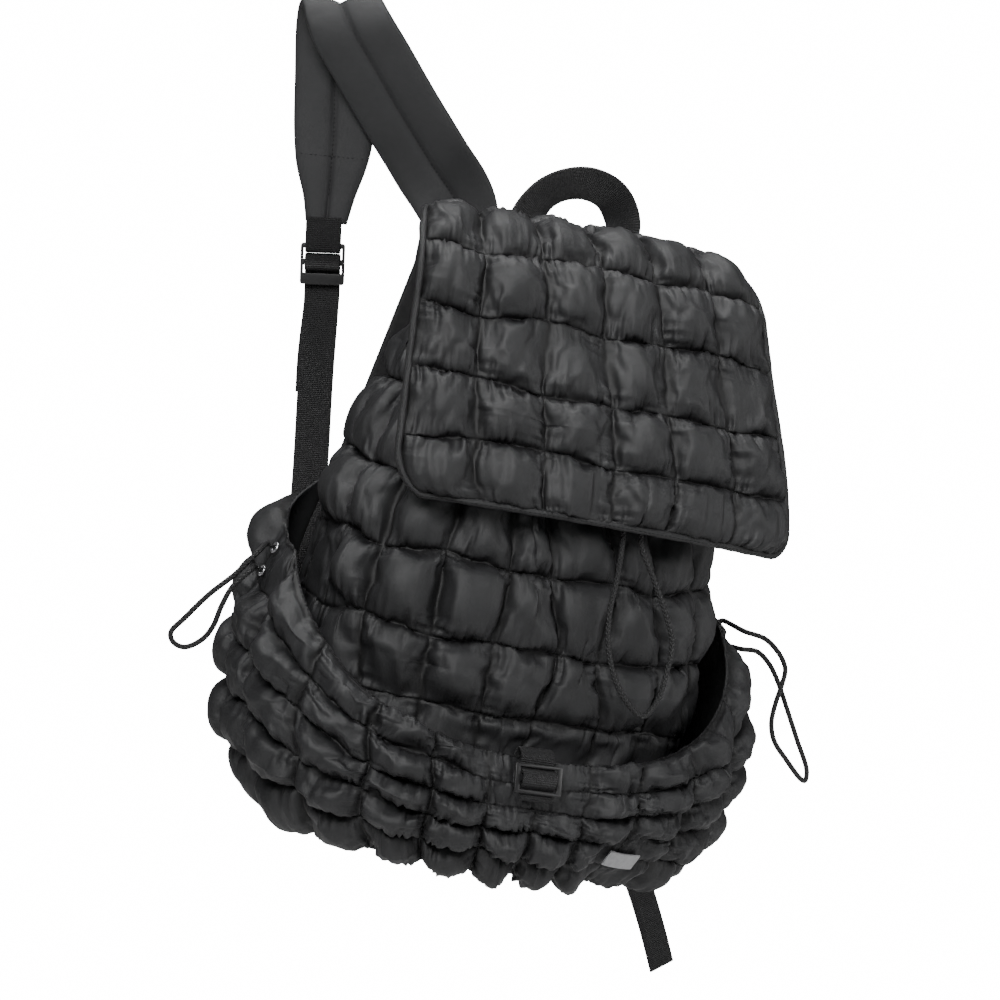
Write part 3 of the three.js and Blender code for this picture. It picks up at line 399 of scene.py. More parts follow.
def noise(at, scale, detail=2.0):
    return at.made("ShaderNodeTexNoise", 0, Vector=at, Scale=scale, Detail=detail)


def cloth_finish(name, dark, light, rough, height, bump, sheen=0.0, specular=0.5, painted_shade_mask=None):
    """A material whose colour wanders between two tones; height(at, uv) gives its weave.

    The optional seam mask, where there is one, paints shade into the seams: it is 0 in the seams, where the
    colour is darkened towards near black, and 1 on the puffs."""
    finish = bpy.data.materials.new(name)
    finish.use_nodes = True
    tree = finish.node_tree
    shader = tree.nodes["Principled BSDF"]
    spots = tree.nodes.new("ShaderNodeTexCoord")
    at, uv = Wave(tree, spots.outputs["Object"]), Wave(tree, spots.outputs["UV"])
    weave, tone = height(at, uv)
    colour = tone.blend(dark, light)
    # Painted shade: the colour is darkened towards near black along the seams.
    if painted_shade_mask:
        colour = colour.with_painted_shade(painted_shade_mask(uv))
    tree.links.new(colour.socket, shader.inputs["Base Color"])
    wander = noise(at, 60.0) * 0.14 + (rough - 0.07)
    tree.links.new(wander.socket, shader.inputs["Roughness"])
    raised = at.node("ShaderNodeBump", {}, Height=weave, Strength=bump, Distance=MM)
    tree.links.new(raised.outputs[0], shader.inputs["Normal"])
    shader.inputs["Sheen Weight"].default_value = sheen
    shader.inputs["Sheen Roughness"].default_value = 0.4
    shader.inputs["Specular IOR Level"].default_value = specular
    return finish


# %% [markdown]
# ## Fabric finishes
# The shell is a thin, downproof nylon with a satin face: nearly smooth, with a very
# fine plain weave and small soft puckers. Its colour carries painted shade, darkened
# towards the seams. The panels are a plainer, coarser weave, and the binding is the
# shell fabric folded double. Every tone is a neutral charcoal.

# %% Shell, lining, panel and strap fabric
THREAD = 2 * math.pi / 0.0006


def plain_weave(at, uv):
    rows = (part(at, 0) * THREAD).sin() * (part(at, 2) * THREAD).sin()
    pucker = noise(at, 260.0, 3.0)
    tone = noise(at, 22.0, 4.0)
    return rows * 0.12 + pucker * 0.9, tone


def coarse_weave(at, uv):
    pitch = THREAD * 0.6
    rows = (part(at, 0) * pitch).sin() * (part(at, 2) * pitch).sin()
    return rows * 0.5 + noise(at, 500.0) * 0.4, noise(at, 35.0, 4.0)


# Painted shade for the quilted shell: a mask that is 0 along the seams and rises to 1 on the puffs, so the
# colour darkens in the seams.
def painted_seam_shade(uv):
    across = (part(uv, 0) * math.pi).sin().size()
    down = (part(uv, 1) * math.pi).sin().size()
    return across.math("MINIMUM", down).stretch(0.0, 0.3)


# The shell's colour carries painted shade in its seams.
shell_fabric = cloth_finish(
    "shell_fabric", (0.0115, 0.0117, 0.0124), (0.018, 0.0183, 0.0193), 0.56, plain_weave, 0.3, 0.0, 0.36,
    painted_seam_shade,
)
strap_fabric = cloth_finish(
    "strap_fabric", (0.0155, 0.0157, 0.0165), (0.0225, 0.0228, 0.024), 0.64, plain_weave, 0.3, 0.0, 0.34
)
binding_fabric = cloth_finish(
    "binding_fabric", (0.009, 0.0092, 0.0097), (0.015, 0.0152, 0.016), 0.55, coarse_weave, 0.35, 0.0, 0.4
)
panel_fabric = cloth_finish(
    "panel_fabric", (0.008, 0.008, 0.0085), (0.014, 0.0142, 0.015), 0.7, coarse_weave, 0.5, 0.0, 0.3
)
thread = cloth_finish(
    "stitch_thread", (0.003, 0.003, 0.0033), (0.007, 0.007, 0.0075), 0.65, coarse_weave, 0.3, 0.0, 0.3
)
print("fabrics:", len(bpy.data.materials))

# %% [markdown]
# ## Webbing, cord, label, plastic and metal
# Webbing has fine ribs across its width and a tighter edge. A drawcord is braided, so
# two sets of strands cross round it. These patterns follow the piece, so they read its
# own map, which holds the distance across and along in metres.

# %% Webbing and cord finishes
RIB = 2 * math.pi / 0.0013
YARN = 2 * math.pi / 0.0011


def ribs(at, uv):
    across, along = part(uv, 0), part(uv, 1)
    yarns = (across * YARN).sin()
    rows = (along * RIB + yarns * 0.8).sin()
    return rows * 0.7 + yarns * 0.35 + noise(at, 900.0) * 0.2, rows * 0.25 + noise(at, 80.0) * 0.8


def braid(at, uv):
    turn, along = part(uv, 0) * (2 * math.pi * 4), part(uv, 1) * (2 * math.pi / 0.0032)
    left, right = (turn + along).sin(), (turn - along).sin()
    strands = left.math("MAXIMUM", right)
    return strands * 0.8 + noise(at, 900.0) * 0.2, strands * 0.3 + 0.45


def patch_weave(at, uv):
    pitch = 2 * math.pi / 0.0009
    rows = (part(at, 0) * pitch).sin() * (part(at, 2) * pitch).sin()
    return rows * 0.7 + noise(at, 700.0) * 0.3, noise(at, 300.0, 3.0)


def moulded(at, uv):
    return noise(at, 1800.0, 2.0), noise(at, 60.0)


webbing = cloth_finish(
    "webbing", (0.004, 0.004, 0.0043), (0.011, 0.011, 0.0118), 0.6, ribs, 0.6, 0.0, 0.4
)
cord_fabric = cloth_finish(
    "cord", (0.004, 0.004, 0.0043), (0.012, 0.012, 0.0125), 0.6, braid, 0.6, 0.0, 0.4
)
label_fabric = cloth_finish(
    "label", (0.22, 0.22, 0.225), (0.42, 0.42, 0.43), 0.6, patch_weave, 0.5, 0.1, 0.4
)
plastic = cloth_finish(
    "plastic", (0.005, 0.005, 0.0054), (0.009, 0.009, 0.0095), 0.42, moulded, 0.12, 0.0, 0.5
)
eyelet_metal = cloth_finish(
    "eyelet_metal", (0.55, 0.55, 0.57), (0.72, 0.72, 0.73), 0.28, moulded, 0.05, 0.0, 0.5
)
eyelet_metal.node_tree.nodes["Principled BSDF"].inputs["Metallic"].default_value = 1.0
print("finishes:", len(bpy.data.materials))

# %% [markdown]
# ## Making a mesh from points
# Cloth is made in mesh code, from grids of points. A helper turns points and faces into
# an object at the origin, gives it a finish and its slot, shades it smooth and makes it
# ride on the bag's one body.

# %% Mesh helpers
PIECES = []


def finish_piece(obj, finish, replaces=()):
    if finish.name not in [m.name for m in obj.data.materials if m]:
        obj.data.materials.clear()
        obj.data.materials.append(finish)
    obj.data.shade_smooth()
    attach(obj, "root")
    if replaces:
        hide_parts(*replaces)
    PIECES.append(obj)
    return obj


def object_from(name, points, faces, uv=None):
    """A mesh object; uv is a place for each point, or for each corner of each face."""
    mesh = bpy.data.meshes.new(name)
    mesh.from_pydata([tuple(p) for p in points], [], [tuple(f) for f in faces])
    if uv is not None:
        layer = mesh.uv_layers.new(name="UVMap")
        corners = np.zeros(len(mesh.loops), int)
        mesh.loops.foreach_get("vertex_index", corners)
        flat = uv[corners] if len(uv) == len(points) else uv
        layer.data.foreach_set("uv", np.asarray(flat, np.float32).ravel())
    mesh.update()
    obj = bpy.data.objects.new(name, mesh)
    bpy.context.scene.collection.objects.link(obj)
    return obj


def grid_faces(rows, columns, start=0, closed=False, flip=False):
    """Quads of a grid whose points are stored row by row."""
    r, c = np.meshgrid(np.arange(rows - 1), np.arange(columns if closed else columns - 1), indexing="ij")
    n = (c + 1) % columns
    quads = np.stack((r * columns + c, r * columns + n, (r + 1) * columns + n, (r + 1) * columns + c), -1)
    quads = quads.reshape(-1, 4) + start
    return quads[:, ::-1] if flip else quads


def loft_faces(count, sides):
    """Quads round a loft of closed sections, and a cap at each end."""
    faces = [tuple(q) for q in grid_faces(count, sides, closed=True)]
    return faces + [tuple(range(sides))[::-1], tuple(range((count - 1) * sides, count * sides))]


def loft_map(across, along):
    """The map of a loft's corners; across has one column more than the loft has sides."""
    places = np.stack(np.broadcast_arrays(across, along[:, None]), -1)
    quads = np.stack((places[:-1, :-1], places[:-1, 1:], places[1:, 1:], places[1:, :-1]), 2)
    caps = np.zeros((2 * (across.shape[1] - 1), 2))
    return np.vstack((quads.reshape(-1, 2), caps))


def alone(obj):
    """Selects one object and makes it active, because an operator acts on what is selected."""
    bpy.ops.object.select_all(action="DESELECT")
    obj.select_set(True)
    bpy.context.view_layer.objects.active = obj


def apply_all(obj):
    alone(obj)
    for modifier in list(obj.modifiers):
        bpy.ops.object.modifier_apply(modifier=modifier.name)
    return obj


def subdivide(obj, levels=1):
    rounder = obj.modifiers.new("rounder", "SUBSURF")
    rounder.levels = rounder.render_levels = levels
    return apply_all(obj)


def face_out(obj):
    """Turns all faces of a closed mesh outwards."""
    shape = bmesh.new()
    shape.from_mesh(obj.data)
    bmesh.ops.recalc_face_normals(shape, faces=shape.faces)
    shape.to_mesh(obj.data)
    shape.free()
    return obj


# %% [markdown]
# ## The drawcords come first
# Each drawcord leaves one eyelet and comes back to the other of its pair. The loop that
# hangs out is a fixed length of limp braided cord. Its route is a short list of points,
# the same as in the solid model, and a round section is swept along it.

# %% Eyelets' places
def surface_frame(surface, angle, rise, off):
    """A place on a surface with its outward, upward and rightward axes."""
    a, r = np.array(angle), np.array(rise)
    out = normal_of(surface, a, r)
    up = surface(a, r + 0.05) - surface(a, r - 0.05)
    up = unit(up - out * np.dot(up, out))
    return {"place": surface(a, r) + out * off, "out": out, "up": up, "right": np.cross(up, out)}


EYELET_OFF, EYELET_THICK, EYELET_APART, CORD_EXIT = 6, 1.6, 0.045, 2
MOUTH_HEIGHT, MOUTH_OFF = 0.655 * BODY_HEIGHT, 8.3
mouth_y = body_face(np.array(0.0), np.array(MOUTH_HEIGHT))[1] - MOUTH_OFF
MOUTH_EYELETS = [(x, mouth_y, MOUTH_HEIGHT) for x in (35, 50)]


def straight_frame(place):
    axes = np.eye(3)
    return {"place": np.array(place, float), "out": -axes[1], "up": axes[2], "right": axes[0]}


def pocket_eyelet(side, step):
    return surface_frame(pocket_face, side * EYELET_TURN, EYELET_RISE + step * EYELET_APART, EYELET_OFF)


EYELETS = {
    "mouth": [straight_frame(place) for place in MOUTH_EYELETS],
    "left_pocket": [pocket_eyelet(-1, 1), pocket_eyelet(-1, -1)],
    "right_pocket": [pocket_eyelet(1, 1), pocket_eyelet(1, -1)],
}

# %% Cord routes
CORD_RADIUS, CORD_SIDES, CORD_STEP = 1.8, 12, 1.2 * MM
CORD_ROUTES = {
    "mouth": (
        (93, -86, 238), (91.3, -90, 211.5), (83.1, -99, 184), (76.3, -104, 162.9), (74.4, -108, 141.9),
        (78.4, -111, 121.1), (86.2, -113, 106.1), (96.8, -113, 96.7), (107.4, -112, 106.9),
        (113.9, -110, 123), (119.3, -107, 142.5), (116.5, -103, 160.3), (110.4, -98, 182.2),
        (103.8, -90, 207.8), (107, -86, 235),
    ),
    "left_pocket": (
        (-134, -14, 202), (-147.7, -14, 189.8), (-165.3, -10, 176), (-180.1, -6, 161.3),
        (-189.4, -4, 151.5), (-188, -4, 145.3), (-181.6, -8, 142.1), (-171, -12, 147),
        (-164.8, -18, 157), (-160.4, -22, 170.3), (-153.4, -24, 183), (-141, -22, 192.4),
    ),
    "right_pocket": (
        (215.6, -2, 123), (230.5, -4, 116.9), (240.4, -6, 105.7), (244.6, -6, 95.3), (242.5, -6, 85.3),
        (237.5, -6, 71.4), (234.7, -6, 58.1), (236.9, -6, 45.7), (246, -6, 31.7), (257.4, -6, 16.8),
        (260.9, -5, 15.2), (263, -3, 21.8), (256.7, 0, 43.5), (249.3, 3, 67.8), (244, 4, 83.5),
        (236.9, 4, 97.5), (227.4, 3, 107), (215, 1, 110),
    ),
}


def tube(name, line, radius, sides):
    """A closed tube along points in metres, with its map: round, and metres along."""
    ahead = unit(np.gradient(line, axis=0))
    side = np.zeros_like(line)
    side[0] = unit(np.cross(ahead[0], (0.3, 0.5, 0.8)))
    for i in range(1, len(line)):
        side[i] = unit(side[i - 1] - ahead[i] * np.dot(side[i - 1], ahead[i]))
    other = np.cross(ahead, side)
    turn = np.linspace(0, 2 * math.pi, sides, endpoint=False)
    ring = side[:, None] * np.cos(turn)[:, None] + other[:, None] * np.sin(turn)[:, None]
    points = (line[:, None] + radius * ring).reshape(-1, 3)
    round_map = np.tile(np.linspace(0, 1, sides + 1), (len(line), 1))
    uv = loft_map(round_map, lengths(line))
    faces = loft_faces(len(line), sides)
    return face_out(object_from(name, points, faces, uv))


for place, route in CORD_ROUTES.items():
    ends = [
        [tilted(e["place"] + e["out"] * (EYELET_THICK / 2 + GAP + step * CORD_EXIT)) for step in range(3)]
        for e in EYELETS[place]
    ]
    line = even(hung(curve([*ends[0], *route, *ends[1][::-1]])), CORD_STEP)
    loop = tube(f"{place}_drawcord", line, CORD_RADIUS * MM, CORD_SIDES)
    finish_piece(loop, cord_fabric, [f"{place}_cord"])
    print(loop.name, "length", round(lengths(line)[-1] * 1000), "mm")

# %% [markdown]
# ## Puffs
# A quilted puff is a pocket of loose filling between four rows of stitching. Its middle
# stands proud and its edges dive into the seams. The cross rows are sewn with an
# elastic thread, so the cloth beside them gathers into short wrinkles that run into
# the seam. A puff starts as such a dome, and a cloth simulation with air pressure then
# lets the spare fabric find its own folds, with the seams pinned.

# %% Steady variation and puff domes
DOME_POWER = 0.5
COMB = 1.1


def vary(column, row, seed):
    wave = np.sin(column * 12.9898 + row * 78.233 + seed * 37.719) * 43758.5453
    return wave - np.floor(wave)


def wobble(along, lane, seed):
    """A slow drift of a seam that isn't quite straight, from -1 to 1."""
    low = np.floor(along)
    t = along - low
    t = t * t * (3 - 2 * t)
    return 2 * (vary(low, lane, seed) * (1 - t) + vary(low + 1, lane, seed) * t) - 1


def swell(across, down, seed):
    column, row = np.floor(across + 1e-6), np.floor(down + 1e-6)
    u, v = np.maximum(across - column, 0), np.maximum(down - row, 0)
    dome = np.maximum(np.sin(math.pi * u) * np.sin(math.pi * v), 0)
    return dome**DOME_POWER * (0.84 + 0.32 * vary(column, row, seed))


def gathers(across, down, seed, tall):
    """Short wrinkles beside the cross seams, and a few long pulls through each puff."""
    column, row = np.floor(across + 1e-6), np.floor(down + 1e-6)
    u, v = across - column, down - row
    far = np.minimum(v, 1 - v) * tall
    upper = v < 0.5
    one, two = vary(column, row + 0.5 * upper, seed + 5), vary(column + 7, row + 0.5 * upper, seed + 9)
    comb = (
        np.sin(2 * math.pi * ((2.6 + 1.8 * one) * u + two + 0.12 * v))
        + 0.7 * np.sin(2 * math.pi * ((5.2 + 2.4 * two) * u + one))
    )
    close = np.exp(-far / (6 + 5 * one))
    lean, start = (vary(column, row, seed + 3) - 0.5) * 2.4, vary(column + 3, row, seed + 11)
    pulls = np.sin(2 * math.pi * (1.4 * u + lean * v + start)) ** 3
    return comb * close * (0.45 + 0.9 * two), pulls


def puffs(across, down, seed, tall, pull, quilted=1.0):
    """How domed each point is, from 0 in a seam to about 1, and its folds in mm."""
    dome = swell(across, down, seed) * quilted
    comb, pulls = gathers(across, down, seed, tall)
    return dome, (COMB * comb + pull * pulls * dome) * np.minimum(dome * 2, 1)


# %% [markdown]
# ## Letting the cloth settle
# Blender's cloth takes a grid of quads, pins what is sewn, blows air into the rest and
# shrinks nothing, but gives the fabric more length than its place has, as in a real
# quilt. After twenty steps each point is kept within a few millimetres of the dome, so
# neighbours stay clear of each other.

# %% Cloth simulation
CLOTH_STEPS = 20
RISE, SINK, SLIDE = 2.5 * MM, 4 * MM, 3.5 * MM
CLOTH_RULES = {
    "quality": 5, "mass": 0.0015, "air_damping": 4, "tension_stiffness": 12, "compression_stiffness": 12,
    "shear_stiffness": 4, "bending_stiffness": 0.08, "shrink_min": -0.09, "use_pressure": True,
    "uniform_pressure_force": 5, "vertex_group_mass": "sewn",
}


def settle(name, points, columns, closed, sewn, outward, loose):
    """The settled places of a grid of cloth whose sewn points stay, in metres."""
    p = points.reshape(-1, columns, 3)
    facing = np.cross(p[:-1, 1:] - p[:-1, :-1], p[1:, :-1] - p[:-1, :-1])
    ahead = (facing * outward.reshape(p.shape)[:-1, :-1]).sum() > 0
    faces = grid_faces(len(p), columns, closed=closed, flip=not ahead)
    trial = object_from(name + "_trial", points, faces)
    pins = trial.vertex_groups.new(name="sewn")
    for strength in np.unique(sewn):
        if strength > 0:
            pins.add(np.nonzero(sewn == strength)[0].tolist(), float(strength), "REPLACE")
    cloth = trial.modifiers.new("cloth", "CLOTH")
    for name_of, value in CLOTH_RULES.items():
        setattr(cloth.settings, name_of, value)
    cloth.settings.effector_weights.gravity = 0
    cloth.collision_settings.use_collision = False
    cloth.collision_settings.use_self_collision = False
    cloth.point_cache.frame_start = 1
    cloth.point_cache.frame_end = CLOTH_STEPS
    scene = bpy.context.scene
    for step in range(1, CLOTH_STEPS + 1):
        scene.frame_set(step)
    settled = trial.evaluated_get(bpy.context.evaluated_depsgraph_get())
    found = np.zeros(len(points) * 3, np.float32)
    settled.data.vertices.foreach_get("co", found)
    found = found.reshape(-1, 3).astype(float)
    scene.frame_set(1)
    bpy.data.objects.remove(trial)
    moved = np.nan_to_num(found - points)
    rise = (moved * outward).sum(1)
    most = np.where(rise > 0, RISE * loose, SINK) + 1e-9
    rise = most * np.tanh(rise / most)
    slide = moved - (moved * outward).sum(1)[:, None] * outward
    reach = np.linalg.norm(slide, axis=1)
    slide *= (SLIDE * np.tanh(reach / SLIDE) / np.maximum(reach, 1e-9))[:, None]
    free = 1 - sewn[:, None]
    print(name, "settled, mean move", round(float(np.abs(moved).mean()) * 1000, 2), "mm")
    return points + (outward * rise[:, None] + slide) * free


# %% [markdown]
# ## Stitches
# Seen close, a seam is a row of small thread stitches in the bottom of the valley. One
# stitch is a tiny bead with a few faces, and it is copied along every seam.

# %% Rows of stitches
STITCH_LONG, STITCH_STEP, STITCH_THICK = 2.6 * MM, 3.7 * MM, 0.42 * MM


def stitches(name, lines, long=STITCH_LONG, step=STITCH_STEP, thick=STITCH_THICK):
    """Thread beads along lines; each line is (points, outward normals) in metres."""
    beads = []
    for line, out in lines:
        along = lengths(line)
        count = int(along[-1] / step)
        if count < 2:
            continue
        share = (np.arange(count) + 0.5) / count
        centre, normal = at_share(line, share), unit(at_share(np.asarray(out), share))
        ahead = unit(at_share(line, share + 0.3 / count) - at_share(line, share - 0.3 / count))
        beads.append((centre, ahead, np.cross(normal, ahead), normal))
    centre, ahead, side, normal = (np.vstack(b) for b in zip(*beads))
    shape = (
        (-0.5, 0, 0), (-0.28, -0.9, 0), (-0.28, 0, 0.9), (-0.28, 0.9, 0), (-0.28, 0, -0.9),
        (0.28, -0.9, 0), (0.28, 0, 0.9), (0.28, 0.9, 0), (0.28, 0, -0.9), (0.5, 0, 0),
    )
    faces = [(0, 1, 2), (0, 2, 3), (0, 3, 4), (0, 4, 1), (1, 5, 6, 2), (2, 6, 7, 3), (3, 7, 8, 4),
             (4, 8, 5, 1), (9, 6, 5), (9, 7, 6), (9, 8, 7), (9, 5, 8)]
    points = np.stack(
        [centre + ahead * a * long + side * s * thick + normal * h * thick for a, s, h in shape], axis=1
    ).reshape(-1, 3)
    every = [tuple(i + 10 * k for i in f) for k in range(len(centre)) for f in faces]
    made = face_out(object_from(name, points, every))
    print(name, len(centre), "stitches")
    return finish_piece(made, thread)


# %% [markdown]
# ## A quilted shell
# The outer skin is settled cloth and the inner skin is the plain lining just behind it.
# Both grids have the same count of points, so their borders join face to face and the
# shell is closed. One subdivision smooths the folds, and then fine gathers are drawn into
# the outer skin beside the seams, where the elastic thread pulls the cloth together.

# %% Quilted shells
LINED = 0.5
GATHER, GATHER_REACH = 2.6, 4.2


def cell_map(cells_u, cells_v):
    """The place of each point in the quilting, and a flat value for the lining behind it."""
    outer = np.stack((cells_u.ravel(), cells_v.ravel()), -1)
    return np.vstack((outer, np.full_like(outer, LINED)))


def ridges(lane, far, reach):
    """Rounded folds with sharp valleys, strongest a little way off a seam."""
    return (np.abs(np.sin(math.pi * lane)) - 0.55) * far / reach * np.exp(1 - far / reach)


def gather_seams(obj, wide, tall, seed, free):
    """Draws fine gathers along the seams into an outer skin, by its own map."""
    mesh = obj.data
    corners = np.zeros(len(mesh.loops), int)
    mesh.loops.foreach_get("vertex_index", corners)
    flat = np.zeros(len(mesh.loops) * 2, np.float32)
    mesh.uv_layers[0].data.foreach_get("uv", flat)
    uv = np.full((len(mesh.vertices), 2), LINED)
    uv[corners] = flat.reshape(-1, 2)
    places, normals = (np.zeros(len(mesh.vertices) * 3, np.float32) for _ in range(2))
    mesh.vertices.foreach_get("co", places)
    mesh.vertices.foreach_get("normal", normals)
    u, v = uv.T
    seam, side = np.round(v), np.round(u)
    above = np.where(v > seam, 1.7, 0)
    strong = 0.35 + 1.3 * vary(np.floor(u * 2.5 + 0.3 * above), seam + above, seed)
    lane = u * wide / 7.5 + 0.4 * np.sin(u * 9.1 + seam + above) + 0.3 * np.sin(u * 23.7 + 2 * seam)
    height = GATHER * strong * ridges(lane + above, np.abs(v - seam) * tall, GATHER_REACH)
    beyond = np.where(u > side, 2.3, 0)
    weak = vary(side + beyond, np.floor(v * 3), seed + 4) ** 2
    lane = v * tall / 8.5 + 0.4 * np.sin(v * 8.3 + side + beyond)
    height += GATHER * weak * ridges(lane + beyond, np.abs(u - side) * wide, GATHER_REACH)
    height *= (np.abs(u - LINED) + np.abs(v - LINED) > 1e-4) * free(u, v)
    places = places.reshape(-1, 3) + normals.reshape(-1, 3) * height[:, None] * MM
    mesh.vertices.foreach_set("co", places.ravel())
    mesh.update()
    return obj


def pillow(outer, inner, rows, columns):
    """One closed mesh from an outer and an inner grid with the same counts."""
    count = rows * columns
    faces = [tuple(q) for q in grid_faces(rows, columns)]
    faces += [tuple(q) for q in grid_faces(rows, columns, count, flip=True)]
    edge = (
        [c for c in range(columns)]
        + [r * columns + columns - 1 for r in range(1, rows)]
        + [(rows - 1) * columns + c for c in range(columns - 2, -1, -1)]
        + [r * columns for r in range(rows - 2, 0, -1)]
    )
    for a, b in zip(edge, edge[1:] + edge[:1]):
        faces.append((b, a, a + count, b + count))
    return np.vstack((outer, inner)), faces


def seam_lines(points, outward, rows, columns, down_at, across_at, lift=0.1 * MM):
    """The lines of points along the chosen rows and columns of a grid."""
    p, n = points.reshape(rows, columns, 3), outward.reshape(rows, columns, 3)
    found = [(p[r] + n[r] * lift, n[r]) for r in down_at]
    found += [(p[:, c] + n[:, c] * lift, n[:, c]) for c in across_at]
    return found


FINE = 14
SEWN_THICK = 1.8
POCKET_PUFF, BODY_PUFF, FLAP_PUFF = (44, 30), (45, 48), (43, 46)
CROWD_ACROSS, CROWD_DOWN = 0.3, 0.6


def grid_cells(count, fine, by):
    """Places in the quilting, so many to a puff, moved towards the seams where folds are tight."""
    cells = np.linspace(0, count, count * fine + 1)
    return cells - by * np.sin(2 * math.pi * cells) / (2 * math.pi)


def within(cells, count):
    """1 well inside the quilting, easing to 0 at its two ends."""
    return np.sin(math.pi * cells / count).clip(0) ** 0.3


def on_seam(cells):
    return np.isclose(cells % 1, 0) | np.isclose(cells % 1, 1)


# %% [markdown]
# ## The front pocket
# The pocket wraps round the lower body in fourteen columns and five rows of puffs. In
# front, the rows are pushed together like folds of an accordion.

# %% Front pocket
POCKET_COLUMNS, POCKET_ROWS, POCKET_CROWN = 14, 5, 14
columns, rows = POCKET_COLUMNS * FINE + 1, POCKET_ROWS * FINE + 1
cells_u, cells_v = np.meshgrid(
    grid_cells(POCKET_COLUMNS, FINE, CROWD_ACROSS), grid_cells(POCKET_ROWS, FINE, CROWD_DOWN)
)
pocket_turns = even_angles(-POCKET_END, POCKET_END, POCKET_COLUMNS * 3)
drift_u = cells_u + 0.09 * wobble(cells_v, np.round(cells_u), 21) * within(cells_u, POCKET_COLUMNS)
drift_v = cells_v + 0.1 * wobble(cells_u, np.round(cells_v), 22) * within(cells_v, POCKET_ROWS)
turn = np.interp(drift_u / POCKET_COLUMNS, np.linspace(0, 1, len(pocket_turns)), pocket_turns)
rise = drift_v / POCKET_ROWS
out = normal_of(pocket_face, turn, np.clip(rise, 0.01, 0.99))
dome, folds = puffs(cells_u, cells_v, 2, POCKET_PUFF[1], 1.4)
hold = calm(turn, rise)
thick = SEWN_THICK + ((WALL - SEWN_THICK + POCKET_CROWN) * dome + folds) * hold
lower = pocket_face(turn, rise)
pocket_outer = bagged((lower + out * thick[..., None]).reshape(-1, 3))
pocket_inner = bagged(lower.reshape(-1, 3))
pocket_out = out.reshape(-1, 3) @ TILT.T
sewn = (on_seam(cells_u) | on_seam(cells_v)).ravel().astype(float)
pocket_outer = settle("pocket", pocket_outer, columns, False, sewn, pocket_out, hold.ravel())
points, faces = pillow(pocket_outer, pocket_inner, rows, columns)
pocket = face_out(object_from("front_pocket_quilt", points, faces, cell_map(cells_u, cells_v)))
gather_seams(subdivide(pocket), *POCKET_PUFF, 2, lambda u, v: np.minimum(u, POCKET_COLUMNS - u).clip(0, 1))
finish_piece(pocket, shell_fabric, ["front_pocket"])
stitches("front_pocket_stitches", seam_lines(
    pocket_outer, pocket_out, rows, columns, range(0, rows, FINE), range(0, columns, FINE)
))
print("pocket faces", len(pocket.data.polygons))

# %% [markdown]
# ## The body
# The body is one quilted tube, closed by its floor and open at the mouth. Its puffs are
# pressed flat where the pocket and the flap cover them, and its back is plain.

# %% Body
BODY_COLUMNS, BODY_ROWS, BODY_CROWN, BACK_STEPS = 12, 8, 13, 20
QUILT_END = math.radians(128)
LINING_RINGS, LINING_NEAR = 24, 1.2
body_cells = grid_cells(BODY_COLUMNS, FINE, CROWD_ACROSS)
girth = even_angles(-QUILT_END, QUILT_END, 400)
quilted = np.interp(body_cells / BODY_COLUMNS, np.linspace(0, 1, 401), girth)
plain = even_angles(QUILT_END, 2 * math.pi - QUILT_END, BACK_STEPS)[1:-1]
columns, rows = len(quilted) + len(plain), BODY_ROWS * FINE + 1
cells_u = np.concatenate((body_cells, np.full(len(plain), BODY_COLUMNS)))
cells_u, cells_v = np.meshgrid(cells_u, grid_cells(BODY_ROWS, FINE, CROWD_DOWN))
turn = np.concatenate((quilted, plain))[None, :] + 0 * cells_v
is_quilted = (np.arange(columns) < len(quilted))[None, :]
loose = is_quilted * within(cells_v, BODY_ROWS) * within(cells_u, BODY_COLUMNS)
step_turn = quilted[FINE] - quilted[0]
turn = turn + 0.09 * step_turn * wobble(cells_v, np.round(cells_u), 31) * loose
height = BODY_HEIGHT * (cells_v + 0.1 * wobble(cells_u, np.round(cells_v), 32) * loose) / BODY_ROWS
covered = smooth(pocket_rim(turn) - height, -36, -4)
low_sides = smooth(np.abs(turn) / POCKET_END, 0.62, 0.84)
capped = smooth(height, 0.75 * BODY_HEIGHT, 0.9 * BODY_HEIGHT)
under = (1 - covered * (0.6 + 0.34 * low_sides)) * (1 - 0.6 * capped)
dome, folds = puffs(cells_u, cells_v, 1, BODY_PUFF[1], 1.5, is_quilted)
out = body_out(turn, height)
out[0, :, 2] = 0
out = unit(out)
sunk = np.where(is_quilted, SEWN_THICK, WALL)
thick = sunk + ((WALL - SEWN_THICK + BODY_CROWN) * dome + folds) * under
body_outer = bagged((body_face(turn, height) + out * thick[..., None]).reshape(-1, 3))
body_out_hung = out.reshape(-1, 3) @ TILT.T
sewn = (on_seam(cells_u) | on_seam(cells_v) | ~is_quilted).ravel().astype(float)
body_outer = settle("body", body_outer, columns, True, sewn, body_out_hung, under.ravel())
print("body cloth points", len(body_outer))

# %% [markdown]
# The outer rings, the lining's rings and the two floors are one loft: from the middle
# of the floor outwards, up the outside, over the mouth and down the lining again.

